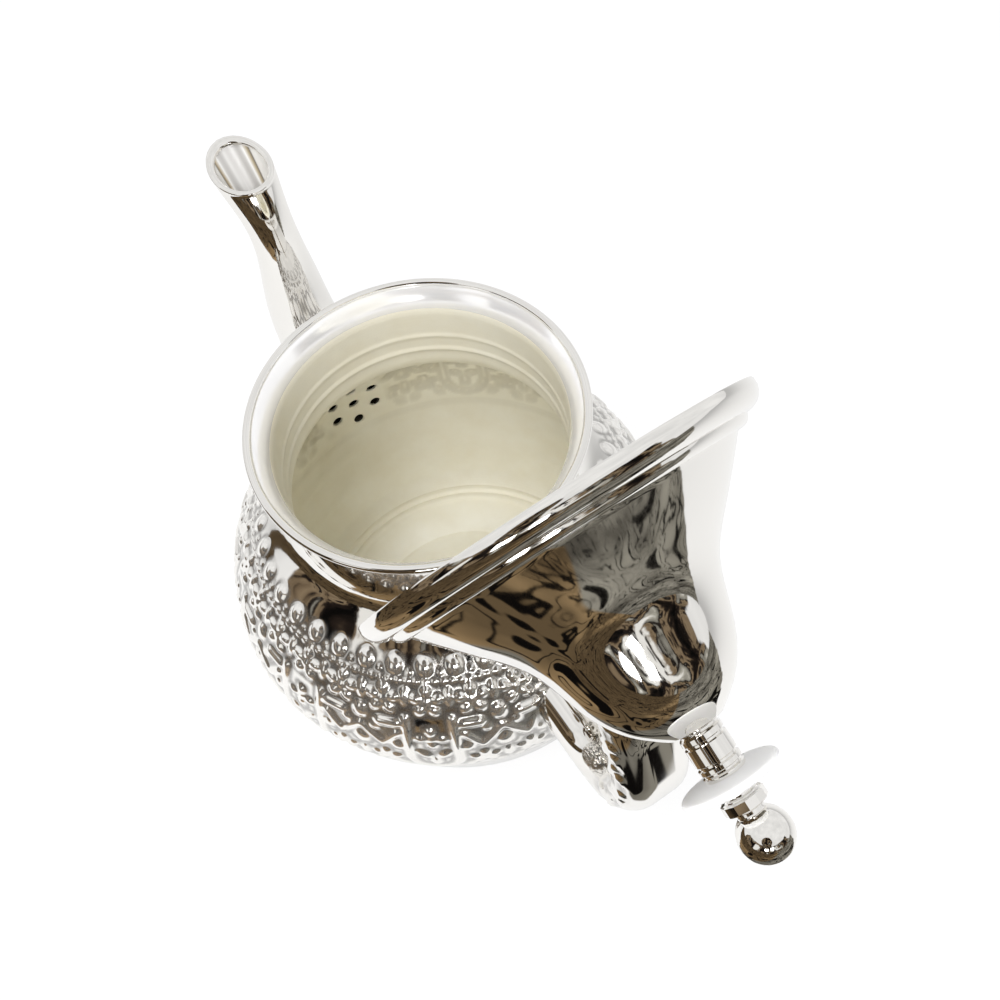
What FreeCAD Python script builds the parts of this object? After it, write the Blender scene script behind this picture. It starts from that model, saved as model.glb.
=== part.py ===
import FreeCAD, Part
import math
import os

# A silver-plated Moroccan teapot, in millimetres. The origin is the centre of the flat base,
# +Z is up, the spout points along +X and the hinge and handle are on the -X side.
# The lid is modelled open, leaning back on the handle.

# Sheet and fits
WALL = 1.0                # spun sheet
RUN_GAP = 0.3             # between pieces that move past each other
PIN_GAP = 0.05            # pin in the lid's knuckle, on the radius
BOLT_GAP = 0.1            # finial pieces on their stud, on the radius
LEAN_STEP = 0.01          # degrees, how closely the open lid's lean is found

# Body, from the base up
BASE_T = 1.6              # bottom dish, thickness of floor and upstand
FOOT_R = 51.4
FOOT_H = 5.2
FLOOR_RING_R = 33.3       # turned groove in the floor
FLOOR_RING_W = 1.0
FLOOR_RING_DEPTH = 0.5
HEEL_OUT = 3.2            # step from the foot out to the belly
HEEL_UP = 3.0
HEEL_LEAN = 0.3           # outward slope of the wall at the heel
BELLY_R = 65.1
BELLY_Z = 50.5
BELLY_RISE = 51.6         # half height of the ellipse that the belly follows
BELLY_LOW_TURN = -16      # degrees along that ellipse, where it ends below
BELLY_TOP_TURN = 43       # and above, at the shoulder
NECK_TURN_H = 12.3        # from the shoulder up to where the neck stands straight
NECK_H = 17.7             # straight neck
THROAT_R = 38.1           # inside of the neck
FLARE_H = 9.3             # flared mouth, above the neck
FLARE_OUT = 5.9           # from the throat out to the rim
RIM_BEAD_R = 1.1          # rolled edge of the mouth

# Strainer holes behind the spout
HOLE_R = 1.75
HOLE_RING_R = 8.2
HOLE_COUNT = 6            # round the middle one
HOLE_DROP = 0.5           # the middle one, below the spout's root
HOLE_ASIDE = 0.7          # and to the left of it, seen from the spout

# Spout
SPOUT_ROOT_RISE = 3.0     # its root and the strainer, above the belly's widest place
SPOUT_ROOT_R = 12.0
SPOUT_KNEE_OUT = 20.9     # where it stands upright, beyond the belly
SPOUT_KNEE_R = 8.5
SPOUT_WAIST_R = 7.0       # below the lip
SPOUT_LIP_R = 8.9
SPOUT_LIP_T = 1.9         # rounded lip
SPOUT_TIP_OUT = 31.4      # beyond the belly
SPOUT_TIP_RISE = 6.0      # above the rim
SPOUT_SKEW = -1.2         # degrees, the spout sits a little round from the line of the handle

# Handle, to the corners of its centre line
HANDLE_W = 18.5
HANDLE_T = 13.5
HANDLE_EDGE_R = 6.0
HANDLE_ARM_DROP = 16.0    # upper arm, below the rim
HANDLE_KNEE_OUT = 15.0    # where the arm turns up, beyond the rim
HANDLE_CREST_OUT = 34.0   # the crest that the open lid leans on
HANDLE_CREST_RISE = 13.67  # above the rim
HANDLE_BACK_OUT = 30.1    # beyond the belly
HANDLE_ROOT_RISE = 12.6   # lower arm, above the belly's widest place

# Hinge
KNUCKLE_R = 2.2
KNUCKLE_LEN = 5.6         # the lid's knuckle, between the body's two
HINGE_CLEAR = 0.4         # knuckles, outside the rim
HINGE_UP = 1.7            # axis, above the rim
HINGE_LEN = 15.0
PIN_R = 1.0
PIN_HEAD_R = 1.5
PIN_HEAD_T = 0.8
LEAF_T = 1.5              # tab on the lid's edge

# Lid, heights above its lower edge
LID_GAP = 0.3             # above the rim when closed
LID_INSET = 0.7           # its edge, inside the rim's
LID_EDGE_T = 2.0
LID_OUTER_ROLL_W = 4.1
LID_OUTER_ROLL_H = 2.8
LID_INNER_ROLL_W = 3.2
LID_INNER_ROLL_H = 2.0
LID_ROLL_RISE = 0.7       # roundness of the rolls
LID_SKIRT_R = 27.2        # lower wave of the bell
LID_SKIRT_H = 16.6
LID_WAIST_R = 20.9
LID_WAIST_H = 24.2
LID_DOME_R = 16.5
LID_DOME_H = 35.8
LID_CROWN_R = 11.0
LID_CROWN_DROP = 4.0      # below the flat on top
LID_SEAT_R = 6.0          # flat on top, under the finial
LID_SEAT_H = 48.5

# Finial, from the lid's flat up
STUD_R = 1.5
STUD_IN_BALL = 5.0
STUD_SPARE = 1.2          # thread past the nut
WASHER_R = 4.4
WASHER_T = 1.0
NUT_R = 3.6               # to the corners
NUT_T = 2.8
SLEEVE_R = 4.4
SLEEVE_H = 10.2
SLEEVE_FOOT_R = 4.0
SLEEVE_FOOT_H = 1.2
GROOVE_DEPTH = 0.45
GROOVE_W = 0.8
GROOVE_PLACES = (0.24, 0.67, 0.84)   # shares of the sleeve's height
DISC_R = 10.4
DISC_T = 3.4
DISC_EDGE_T = 1.3
DISC_ROUND = 0.6          # rise of its round side
RING_NECK_R = 2.6
RING_NECK_H = 1.5
RING_R = 4.6
RING_T = 2.4
RING_FACETS = 12
RING_TOP_R = 3.0
RING_TOP_H = 1.3
BALL_R = 5.6

# Derived places
HEEL_R = FOOT_R + HEEL_OUT
HEEL_Z = FOOT_H + HEEL_UP
NECK_R = THROAT_R + WALL
NECK_Z = BELLY_Z + BELLY_RISE * math.sin(math.radians(BELLY_TOP_TURN)) + NECK_TURN_H
FLARE_Z = NECK_Z + NECK_H
RIM_R = THROAT_R + FLARE_OUT
RIM_Z = FLARE_Z + FLARE_H
SPOUT_Z = BELLY_Z + SPOUT_ROOT_RISE
SPOUT_KNEE_X = BELLY_R + SPOUT_KNEE_OUT
SPOUT_TIP_X = BELLY_R + SPOUT_TIP_OUT
SPOUT_TIP_Z = RIM_Z + SPOUT_TIP_RISE
HINGE_X = -(RIM_R + HINGE_CLEAR + KNUCKLE_R)
HINGE_Z = RIM_Z + HINGE_UP
LID_R = RIM_R - LID_INSET
LID_Z = RIM_Z + LID_GAP
UP = FreeCAD.Vector(0, 0, 1)
ACROSS = FreeCAD.Vector(0, 1, 0)


def at(x, z, y=0.0):
    return FreeCAD.Vector(x, y, z)


def line(a, b):
    return Part.LineSegment(a, b).toShape()


def arc(a, through, b):
    return Part.Arc(a, through, b).toShape()


def bulge(a, b, rise):
    """Arc from a to b whose middle stands rise to the right of the straight line."""
    along = (b - a).normalize()
    return arc(a, (a + b) * 0.5 + FreeCAD.Vector(along.z, 0, -along.x) * rise, b)


def spline(points, start=None, end=None):
    """Smooth curve through points; start and end are its directions there."""
    curve = Part.BSplineCurve()
    if start is None:
        curve.interpolate(Points=points)
    else:
        curve.interpolate(Points=points, InitialTangent=start, FinalTangent=end)
    return curve


def inset(curve, depth, count=9):
    """The curve moved depth to its left, for the inside of a wall."""
    first, last = curve.FirstParameter, curve.LastParameter
    points = []
    for i in range(count):
        t = first + (last - first) * i / (count - 1)
        along = curve.tangent(t)[0]
        points.append(curve.value(t) + FreeCAD.Vector(-along.z, 0, along.x) * depth)
    return points


def turned(edges):
    """Solid of revolution about the Z axis from the edges of a closed outline."""
    face = Part.Face(Part.Wire(Part.__sortEdges__(edges)))
    solid = face.revolve(at(0, 0), UP, 360)
    if solid.Volume < 0:
        solid.reverse()
    return solid


def turned_polygon(points):
    ring = points + points[:1]
    return turned([line(a, b) for a, b in zip(ring, ring[1:])])


def tube(radius, bore, low, high):
    solid = Part.makeCylinder(radius, high - low, at(0, low))
    return solid.cut(Part.makeCylinder(bore, high - low, at(0, low)))


def on_belly(turn):
    angle = math.radians(turn)
    return at(BELLY_R * math.cos(angle), BELLY_Z + BELLY_RISE * math.sin(angle))


def body_curves():
    """Outer belly below and above its widest place."""
    lean = FreeCAD.Vector(HEEL_LEAN, 0, 1)
    lower = spline([at(HEEL_R, HEEL_Z), on_belly(BELLY_LOW_TURN), on_belly(0)], lean, UP)
    shoulder = [on_belly(0), on_belly(BELLY_TOP_TURN / 2), on_belly(BELLY_TOP_TURN), at(NECK_R, NECK_Z)]
    upper = spline(shoulder, UP, UP)
    return lower, upper


def body_outside():
    """The pot as a full solid, up to the foot of its flared mouth."""
    lower, upper = body_curves()
    top, foot = at(NECK_R, FLARE_Z), at(FOOT_R, FOOT_H)
    edges = [line(at(0, FOOT_H), foot), line(foot, at(HEEL_R, HEEL_Z)), lower.toShape(), upper.toShape(),
             line(at(NECK_R, NECK_Z), top), line(top, at(0, FLARE_Z)), line(at(0, FLARE_Z), at(0, FOOT_H))]
    return turned(edges)


def strainer_holes():
    places = [(0.0, 0.0)]
    for i in range(HOLE_COUNT):
        turn = 2 * math.pi * i / HOLE_COUNT
        places.append((HOLE_RING_R * math.sin(turn), HOLE_RING_R * math.cos(turn)))
    depth = BELLY_R + WALL - THROAT_R
    middle = at(THROAT_R, SPOUT_Z - HOLE_DROP, -HOLE_ASIDE)
    drills = [Part.makeCylinder(HOLE_R, depth, middle + at(0, up, side), FreeCAD.Vector(1, 0, 0))
              for side, up in places]
    holes = Part.makeCompound(drills)
    holes.rotate(at(0, 0), UP, SPOUT_SKEW)
    return holes


def body_shell():
    lower, upper = body_curves()
    low_in, up_in = inset(lower, WALL), inset(upper, WALL)
    foot_in = at(FOOT_R - BASE_T, FOOT_H)
    top_in = at(THROAT_R, FLARE_Z)
    hollow = turned([line(at(0, FOOT_H), foot_in), line(foot_in, low_in[0]), spline(low_in).toShape(),
                     spline(up_in).toShape(), line(up_in[-1], top_in), line(top_in, at(0, FLARE_Z)),
                     line(at(0, FLARE_Z), at(0, FOOT_H))])
    return body_outside().cut(hollow).cut(strainer_holes())


def base_dish():
    """Flat bottom with an upstand that the shell is soldered on."""
    dish = Part.makeCylinder(FOOT_R, FOOT_H)
    dish = dish.cut(Part.makeCylinder(FOOT_R - BASE_T, FOOT_H, at(0, BASE_T)))
    groove_low = BASE_T - FLOOR_RING_DEPTH
    groove = tube(FLOOR_RING_R + FLOOR_RING_W / 2, FLOOR_RING_R - FLOOR_RING_W / 2, groove_low, BASE_T)
    return dish.cut(groove)


def mouth_curves():
    """Inside, rolled edge and outside of the flared mouth."""
    bead = at(RIM_R - RIM_BEAD_R, RIM_Z - RIM_BEAD_R)
    outward = FreeCAD.Vector(1, 0, 1)
    lip_in = bead + FreeCAD.Vector(-RIM_BEAD_R, 0, 0)
    lip_out = bead + FreeCAD.Vector(0, 0, -RIM_BEAD_R)
    far = bead + FreeCAD.Vector(RIM_BEAD_R, 0, RIM_BEAD_R) * math.sqrt(0.5)
    inner = spline([at(THROAT_R, FLARE_Z), lip_in], UP, outward).toShape()
    outer = spline([at(NECK_R, FLARE_Z), lip_out], UP, outward).toShape()
    return inner, arc(lip_out, far, lip_in), outer


def mouth_rim():
    """Flared mouth with a rolled edge, soldered on the neck."""
    return turned([line(at(THROAT_R, FLARE_Z), at(NECK_R, FLARE_Z)), *mouth_curves()])


def mouth_outside():
    """The mouth filled up to its rolled edge."""
    inner, edge, outer = mouth_curves()
    lip = at(RIM_R - 2 * RIM_BEAD_R, RIM_Z - RIM_BEAD_R)
    return turned([line(at(0, FLARE_Z), at(NECK_R, FLARE_Z)), outer, edge, line(lip, at(0, lip.z)),
                   line(at(0, lip.z), at(0, FLARE_Z))])


def spout_stations():
    """Reach, height, lean from upright in degrees and radius along the spout, from inside the belly."""
    root_x = BELLY_R - SPOUT_ROOT_R
    rise = SPOUT_TIP_Z - SPOUT_Z
    elbow_x = 0.5 * (root_x + SPOUT_KNEE_X)
    waist_x = 0.8 * SPOUT_KNEE_X + 0.2 * SPOUT_TIP_X
    return [(root_x, SPOUT_Z - 0.02 * rise, 82, SPOUT_ROOT_R),
            (elbow_x, SPOUT_Z + 0.06 * rise, 66, 0.97 * SPOUT_ROOT_R),
            (SPOUT_KNEE_X, SPOUT_Z + 0.32 * rise, 8, 0.5 * (SPOUT_ROOT_R + SPOUT_KNEE_R)),
            (SPOUT_KNEE_X, SPOUT_Z + 0.56 * rise, 0, SPOUT_KNEE_R),
            (waist_x, SPOUT_Z + 0.86 * rise, 22, SPOUT_WAIST_R),
            (SPOUT_TIP_X, SPOUT_TIP_Z, 44, SPOUT_LIP_R),
            (SPOUT_TIP_X + 1.2 * SPOUT_LIP_R, SPOUT_TIP_Z + SPOUT_LIP_R, 52, 1.1 * SPOUT_LIP_R)]


def spout_loft(wall, lip):
    """Smooth horn through the stations, less the wall or, in the last two, less the lip."""
    stations = spout_stations()
    rings = []
    for i, (x, z, lean, radius) in enumerate(stations):
        ring = Part.Wire(Part.makeCircle(radius - (lip if i >= len(stations) - 2 else wall)))
        ring.rotate(at(0, 0), ACROSS, lean)
        ring.translate(at(x, z))
        rings.append(ring)
    return Part.makeLoft(rings, True)


def spout(pot):
    size = 4 * SPOUT_LIP_R
    tip = at(SPOUT_TIP_X, SPOUT_TIP_Z)
    above = Part.makeBox(size, size, size, tip - FreeCAD.Vector(size / 2, size / 2, 0))
    horn = spout_loft(0, 0).cut(spout_loft(WALL, SPOUT_LIP_T)).cut(above).cut(pot)
    horn.rotate(at(0, 0), UP, SPOUT_SKEW)
    return horn


def rounded_path(points):
    """Straight runs joined by tangent arcs, each as large as its runs allow."""
    edges = []
    start = points[0]
    for before, corner, after in zip(points, points[1:], points[2:]):
        back, ahead = before - corner, after - corner
        reach = 0.48 * min(back.Length, ahead.Length)
        back.normalize()
        ahead.normalize()
        half = back.getAngle(ahead) / 2
        middle = (back + ahead).normalize()
        centre = corner + middle * (reach / math.cos(half))
        radius = reach * math.tan(half)
        first, last = corner + back * reach, corner + ahead * reach
        edges += [line(start, first), arc(first, centre - middle * radius, last)]
        start = last
    edges.append(line(start, points[-1]))
    return Part.Wire(edges)


def handle_path():
    """Centre line of the ear-shaped handle, from the neck round to the belly."""
    arm, crest, root = RIM_Z - HANDLE_ARM_DROP, RIM_Z + HANDLE_CREST_RISE, BELLY_Z + HANDLE_ROOT_RISE
    back = BELLY_R + HANDLE_BACK_OUT
    return [at(-THROAT_R, arm), at(-RIM_R - HANDLE_KNEE_OUT, arm), at(-RIM_R - HANDLE_CREST_OUT, crest),
            at(-0.96 * back, 0.5 * (arm + crest)), at(-1.04 * back, 0.5 * (arm + root)),
            at(-0.89 * back, root), at(-0.9 * BELLY_R, root)]


def handle_section(centre):
    """Rounded rectangle across the path's first run, which lies along X."""
    bar = Part.makeBox(1, HANDLE_W, HANDLE_T, at(0, -HANDLE_T / 2, -HANDLE_W / 2))
    long_edges = [e for e in bar.Edges if abs(e.tangentAt(e.FirstParameter).x) > 0.9]
    bar = bar.makeFillet(min(HANDLE_EDGE_R, 0.45 * HANDLE_T, 0.45 * HANDLE_W), long_edges)
    section = min(bar.Faces, key=lambda face: face.CenterOfMass.x).OuterWire
    section.translate(centre)
    return section


def handle(pot):
    points = handle_path()
    bar = rounded_path(points).makePipeShell([handle_section(points[0])], True, False)
    return bar.cut(pot)


def knuckle(low, high, bore):
    barrel = Part.makeCylinder(KNUCKLE_R, high - low, at(HINGE_X, HINGE_Z, low), ACROSS)
    return barrel.cut(Part.makeCylinder(bore, high - low, at(HINGE_X, HINGE_Z, low), ACROSS))


def hinge_leaf_body(mouth):
    """Bracket soldered on the rim's rolled edge, with the two outer knuckles."""
    half = HINGE_LEN / 2
    depth, height = HINGE_CLEAR + 2 * KNUCKLE_R + RIM_BEAD_R, 2 * RIM_BEAD_R
    bracket = Part.makeBox(depth, HINGE_LEN, height, at(HINGE_X - KNUCKLE_R, RIM_Z - height, -half))
    room = KNUCKLE_LEN / 2 + RUN_GAP
    gap = Part.makeCylinder(KNUCKLE_R + RUN_GAP, 2 * room, at(HINGE_X, HINGE_Z, -room), ACROSS)
    bore = Part.makeCylinder(PIN_R, HINGE_LEN, at(HINGE_X, HINGE_Z, -half), ACROSS)
    leaf = bracket.cut(mouth).fuse([knuckle(-half, -room, PIN_R), knuckle(room, half, PIN_R)])
    return leaf.cut(gap).cut(bore).removeSplitter()


def hinge_pin():
    """Pin with a flat head at each end, peened over the body's knuckles."""
    half = HINGE_LEN / 2
    pin = Part.makeCylinder(PIN_R, HINGE_LEN, at(HINGE_X, HINGE_Z, -half), ACROSS)
    heads = [Part.makeCylinder(PIN_HEAD_R, PIN_HEAD_T, at(HINGE_X, HINGE_Z, y), ACROSS)
             for y in (-half - PIN_HEAD_T, half)]
    return pin.fuse(heads).removeSplitter()


def lid_outline(depth):
    """Edges of the lid's outside, or of its inside when depth is the sheet's thickness."""
    groove = at(LID_R - LID_OUTER_ROLL_W, LID_EDGE_T + LID_OUTER_ROLL_H)
    foot = groove + FreeCAD.Vector(-LID_INNER_ROLL_W, 0, LID_INNER_ROLL_H)
    bell = spline([foot, at(LID_SKIRT_R, LID_SKIRT_H), at(LID_WAIST_R, LID_WAIST_H),
                   at(LID_DOME_R, LID_DOME_H), at(LID_CROWN_R, LID_SEAT_H - LID_CROWN_DROP),
                   at(LID_SEAT_R, LID_SEAT_H)])
    points = inset(bell, depth, 15)
    points[-1].z = LID_SEAT_H - depth
    low, edge = at(LID_R - depth, 0), at(LID_R - depth, LID_EDGE_T)
    groove -= FreeCAD.Vector(depth, 0, depth) * math.sqrt(0.5)
    bell_edge = spline(points).toShape() if depth else bell.toShape()
    return [line(low, edge), bulge(edge, groove, LID_ROLL_RISE), bulge(groove, points[0], LID_ROLL_RISE),
            bell_edge, line(points[-1], at(0, points[-1].z))]


def lid_volume(depth):
    """The lid's outline filled to its axis, and a little lower where it is the hollow."""
    edges = lid_outline(depth)
    top, rim, floor = at(0, LID_SEAT_H - depth), at(LID_R - depth, 0), at(LID_R - depth, -depth)
    edges += [line(top, at(0, -depth)), line(at(0, -depth), floor)]
    if depth:
        edges.append(line(floor, rim))
    return turned(edges)


def lid_shell():
    shell = lid_volume(0).cut(lid_volume(WALL))
    return shell.cut(Part.makeCylinder(STUD_R + BOLT_GAP, 2 * LID_SEAT_H))


def hinge_leaf_lid():
    """The lid's knuckle with a tab soldered to the edge of its flange."""
    half = KNUCKLE_LEN / 2
    low = LID_Z + LID_GAP / 2
    tab = Part.makeBox(-HINGE_X, KNUCKLE_LEN, LEAF_T, at(HINGE_X, low, -half))
    tab = tab.cut(Part.makeCylinder(LID_R - WALL, 2 * LEAF_T, at(0, low - LEAF_T / 2)))
    shell = lid_volume(0)
    shell.translate(at(0, LID_Z))
    leaf = tab.cut(shell).fuse(knuckle(-half, half, PIN_R))
    leaf = leaf.cut(Part.makeCylinder(PIN_R + PIN_GAP, KNUCKLE_LEN, at(HINGE_X, HINGE_Z, -half), ACROSS))
    leaf.translate(at(0, -LID_Z))
    return leaf.removeSplitter()


def on_stud(points):
    """Turned finial piece from its outside, with a clearance bore."""
    bore = STUD_R + BOLT_GAP
    inner = [at(bore, points[-1].z), at(bore, points[0].z)]
    return turned_polygon(points + inner)


def finial_washer(top):
    return tube(WASHER_R, STUD_R + BOLT_GAP, top - WASHER_T, top)


def prism(radius, sides, low, high):
    turns = [2 * math.pi * i / sides for i in range(sides)]
    corners = [FreeCAD.Vector(radius * math.cos(t), radius * math.sin(t), low) for t in turns]
    return Part.Face(Part.makePolygon(corners + corners[:1])).extrude(UP * (high - low))


def finial_nut(top):
    nut = prism(NUT_R, 6, top - NUT_T, top)
    return nut.cut(Part.makeCylinder(STUD_R, NUT_T, at(0, top - NUT_T)))


def finial_sleeve(low):
    """Plain sleeve with turned grooves, on a narrower foot."""
    step = low + SLEEVE_FOOT_H
    points = [at(SLEEVE_FOOT_R, low), at(SLEEVE_FOOT_R, step), at(SLEEVE_R, step)]
    for share in GROOVE_PLACES:
        groove = low + share * SLEEVE_H
        points += [at(SLEEVE_R, groove), at(SLEEVE_R - GROOVE_DEPTH, groove),
                   at(SLEEVE_R - GROOVE_DEPTH, groove + GROOVE_W), at(SLEEVE_R, groove + GROOVE_W)]
    points.append(at(SLEEVE_R, low + SLEEVE_H))
    return on_stud(points)


def insulator_disc(low):
    """White saucer with its round side up."""
    bore, top = STUD_R + BOLT_GAP, low + DISC_T
    edge_low, edge_high = at(DISC_R, low + DISC_EDGE_T / 2), at(DISC_R, low + 1.5 * DISC_EDGE_T)
    rest, crown = at(SLEEVE_R, low), at(RING_NECK_R, top)
    return turned([line(at(bore, low), rest), line(rest, edge_low), line(edge_low, edge_high),
                   bulge(edge_high, crown, DISC_ROUND), line(crown, at(bore, top)),
                   line(at(bore, top), at(bore, low))])


def finial_ring(low):
    """Faceted collar between two necks."""
    ring_low, ring_high = low + RING_NECK_H, low + RING_NECK_H + RING_T
    facets = prism(RING_R, RING_FACETS, ring_low, ring_high)
    necks = [Part.makeCylinder(RING_NECK_R, RING_NECK_H, at(0, low)),
             Part.makeCylinder(RING_TOP_R, RING_TOP_H, at(0, ring_high))]
    ring = facets.fuse(necks)
    height = ring_high + RING_TOP_H - low
    return ring.cut(Part.makeCylinder(STUD_R + BOLT_GAP, height, at(0, low)))


def finial_ball(low):
    """Knob with a flat seat on the faceted collar and a blind hole for the stud."""
    centre = low + math.sqrt(BALL_R ** 2 - RING_TOP_R ** 2)
    ball = Part.makeSphere(BALL_R, at(0, centre))
    size = 4 * BALL_R
    ball = ball.cut(Part.makeBox(size, size, size, at(-size / 2, low - size, -size / 2)))
    return ball.cut(Part.makeCylinder(STUD_R, STUD_IN_BALL, at(0, low)))


def lid_pieces():
    """Every piece of the lid, on its own axis with its lower edge at height 0."""
    under = LID_SEAT_H - WALL
    sleeve_low = LID_SEAT_H
    disc_low = sleeve_low + SLEEVE_H
    ring_low = disc_low + DISC_T
    ball_low = ring_low + RING_NECK_H + RING_T + RING_TOP_H
    stud_low = under - WASHER_T - NUT_T - STUD_SPARE
    stud = Part.makeCylinder(STUD_R, ball_low + STUD_IN_BALL - stud_low, at(0, stud_low))
    return {"lid_shell": lid_shell(), "hinge_leaf_lid": hinge_leaf_lid(),
            "finial_stud": stud, "finial_washer": finial_washer(under),
            "finial_nut": finial_nut(under - WASHER_T), "finial_sleeve": finial_sleeve(sleeve_low),
            "insulator_disc": insulator_disc(disc_low),
            "finial_ring": finial_ring(ring_low), "finial_ball": finial_ball(ball_low)}


def opened(shape, lid_open):
    shape.translate(at(0, LID_Z))
    shape.rotate(at(HINGE_X, HINGE_Z), ACROSS, -lid_open)
    return shape


def open_angle():
    """Degrees from closed, where the lid's bell has come to lean on the handle's crest."""
    path = rounded_path(handle_path())
    bell = Part.Wire(lid_outline(0))
    bell.rotate(at(0, 0), UP, 180)
    bell.translate(at(0, LID_Z))
    low, high = 60.0, 160.0
    while high - low > LEAN_STEP:
        middle = 0.5 * (low + high)
        leaning = bell.copy()
        leaning.rotate(at(HINGE_X, HINGE_Z), ACROSS, -middle)
        if leaning.distToShape(path)[0] > HANDLE_T / 2 + RUN_GAP:
            low = middle
        else:
            high = middle
    return low


def build():
    pot, mouth = body_outside(), mouth_outside()
    parts = {"body_shell": body_shell(), "base_dish": base_dish(), "mouth_rim": mouth_rim(),
             "spout": spout(pot), "handle": handle(pot.fuse(mouth)),
             "hinge_leaf_body": hinge_leaf_body(mouth), "hinge_pin": hinge_pin()}
    lid_open = open_angle()
    print("lid open by", round(lid_open, 2))
    for name, shape in lid_pieces().items():
        parts[name] = opened(shape, lid_open)
    return parts


os.makedirs("parts", exist_ok=True)
for name, shape in build().items():
    shape.exportStep("parts/" + name + ".step")
    print(name, shape.ShapeType, len(shape.Solids), shape.isValid(), round(shape.Volume, 1))
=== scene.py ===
import bpy
import math
import numpy as np
from mathutils import Matrix, Vector


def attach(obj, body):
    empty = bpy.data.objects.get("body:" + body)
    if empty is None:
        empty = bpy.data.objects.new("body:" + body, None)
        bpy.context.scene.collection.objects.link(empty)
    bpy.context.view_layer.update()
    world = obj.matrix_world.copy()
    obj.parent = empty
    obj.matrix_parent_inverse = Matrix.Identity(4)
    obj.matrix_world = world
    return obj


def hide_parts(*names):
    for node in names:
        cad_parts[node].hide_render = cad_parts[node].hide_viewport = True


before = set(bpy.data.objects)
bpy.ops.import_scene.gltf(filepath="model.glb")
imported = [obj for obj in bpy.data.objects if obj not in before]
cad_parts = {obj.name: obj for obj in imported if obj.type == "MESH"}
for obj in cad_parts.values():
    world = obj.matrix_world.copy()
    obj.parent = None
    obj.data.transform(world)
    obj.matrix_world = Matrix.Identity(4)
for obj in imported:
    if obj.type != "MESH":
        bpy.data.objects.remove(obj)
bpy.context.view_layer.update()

# The bottom is a shallow dish pressed from 1.6 mm brass and silver plated. Its upstand is soldered
# under the heel of the body. Inside, the seam is a doubled bead, and a ring marks off the middle.
MM = 0.001
DISH_COLUMNS = 192


def linear(code):
    """An sRGB hex colour as linear RGBA."""
    parts = [int(code[i:i + 2], 16) / 255 for i in (1, 3, 5)]
    return [c / 12.92 if c <= 0.04045 else ((c + 0.055) / 1.055) ** 2.4 for c in parts] + [1.0]


def add(tree, kind, feeds=None, stops=(), **settings):
    """A node with its settings; feeds holds values, and the nodes and sockets that are linked to it."""
    made = tree.nodes.new(kind)
    for name, value in settings.items():
        setattr(made, name, value)
    for name, value in (feeds or {}).items():
        if isinstance(value, bpy.types.Node):
            value = next(socket for socket in value.outputs if socket.enabled)
        if isinstance(value, bpy.types.NodeSocket):
            tree.links.new(value, made.inputs[name])
        else:
            made.inputs[name].default_value = value
    if stops:
        colours = made.color_ramp.elements
        for k in (0, -1):
            colours[k].position = stops[k][0]
            colours[k].color = linear(stops[k][1])
        for where, code in stops[1:-1]:
            colours.new(where).color = linear(code)
    return made


def finish_named(name):
    """An empty material and its node tree."""
    made = bpy.data.materials.new(name)
    made.use_nodes = True
    made.node_tree.nodes.clear()
    return made, made.node_tree


# Satin silver plate over spun brass: matt and warm where it was never buffed, with the spinning
# tool's rings 1.3 mm apart and cloudy patches of a few centimetres where it dried after plating.
satin_silver, tree = finish_named("satin_silver_plate_spun")
place = add(tree, "ShaderNodeTexCoord").outputs["Object"]
split = add(tree, "ShaderNodeSeparateXYZ", {"Vector": place})
flat = add(tree, "ShaderNodeVectorMath", {0: place, 1: (1, 1, 0)}, operation="MULTIPLY")
reach = add(tree, "ShaderNodeVectorMath", {0: flat}, operation="LENGTH")
along = add(tree, "ShaderNodeMath", {0: reach, 1: split.outputs["Z"]}, operation="ADD")
waver = add(tree, "ShaderNodeTexNoise", {"Vector": place, "Scale": 1 / (30 * MM), "Detail": 2.0})
shift = add(tree, "ShaderNodeMath", {0: waver, 1: 0.9 * MM, 2: along}, operation="MULTIPLY_ADD")
turns = add(tree, "ShaderNodeMath", {0: shift, 1: 2 * math.pi / (1.3 * MM)}, operation="MULTIPLY")
rings = add(tree, "ShaderNodeMath", {0: turns}, operation="SINE")
grain = add(tree, "ShaderNodeTexNoise", {"Vector": place, "Scale": 1 / (0.8 * MM), "Detail": 4.0})
height = add(tree, "ShaderNodeMath", {0: rings, 1: 0.22, 2: grain}, operation="MULTIPLY_ADD")
bump = add(tree, "ShaderNodeBump", {"Height": height, "Strength": 0.28, "Distance": 0.06 * MM})
cloud = add(tree, "ShaderNodeTexNoise",
            {"Vector": place, "Scale": 1 / (22 * MM), "Detail": 5.0, "Roughness": 0.62})
tint = add(tree, "ShaderNodeValToRGB", {"Fac": cloud}, stops=((0.3, "#F5F0DE"), (0.72, "#FEFCF0")))
matt = add(tree, "ShaderNodeMapRange", {"Value": cloud, "To Min": 0.5, "To Max": 0.36})
# Darker where a piece marks it: painted shade along the dents' edges inside the body, and a darker band at
# the throat.
low = add(tree, "ShaderNodeAttribute", attribute_name="polish_and_painted_shade").outputs["Fac"]
darkened_tint = add(tree, "ShaderNodeMix", {"Factor": low, "A": tint, "B": linear("#8F8467")}, data_type="RGBA")
silver = add(tree, "ShaderNodeBsdfPrincipled",
             {"Base Color": darkened_tint, "Metallic": 0.25, "Roughness": matt, "Normal": bump})
add(tree, "ShaderNodeOutputMaterial", {"Surface": silver})
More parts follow.
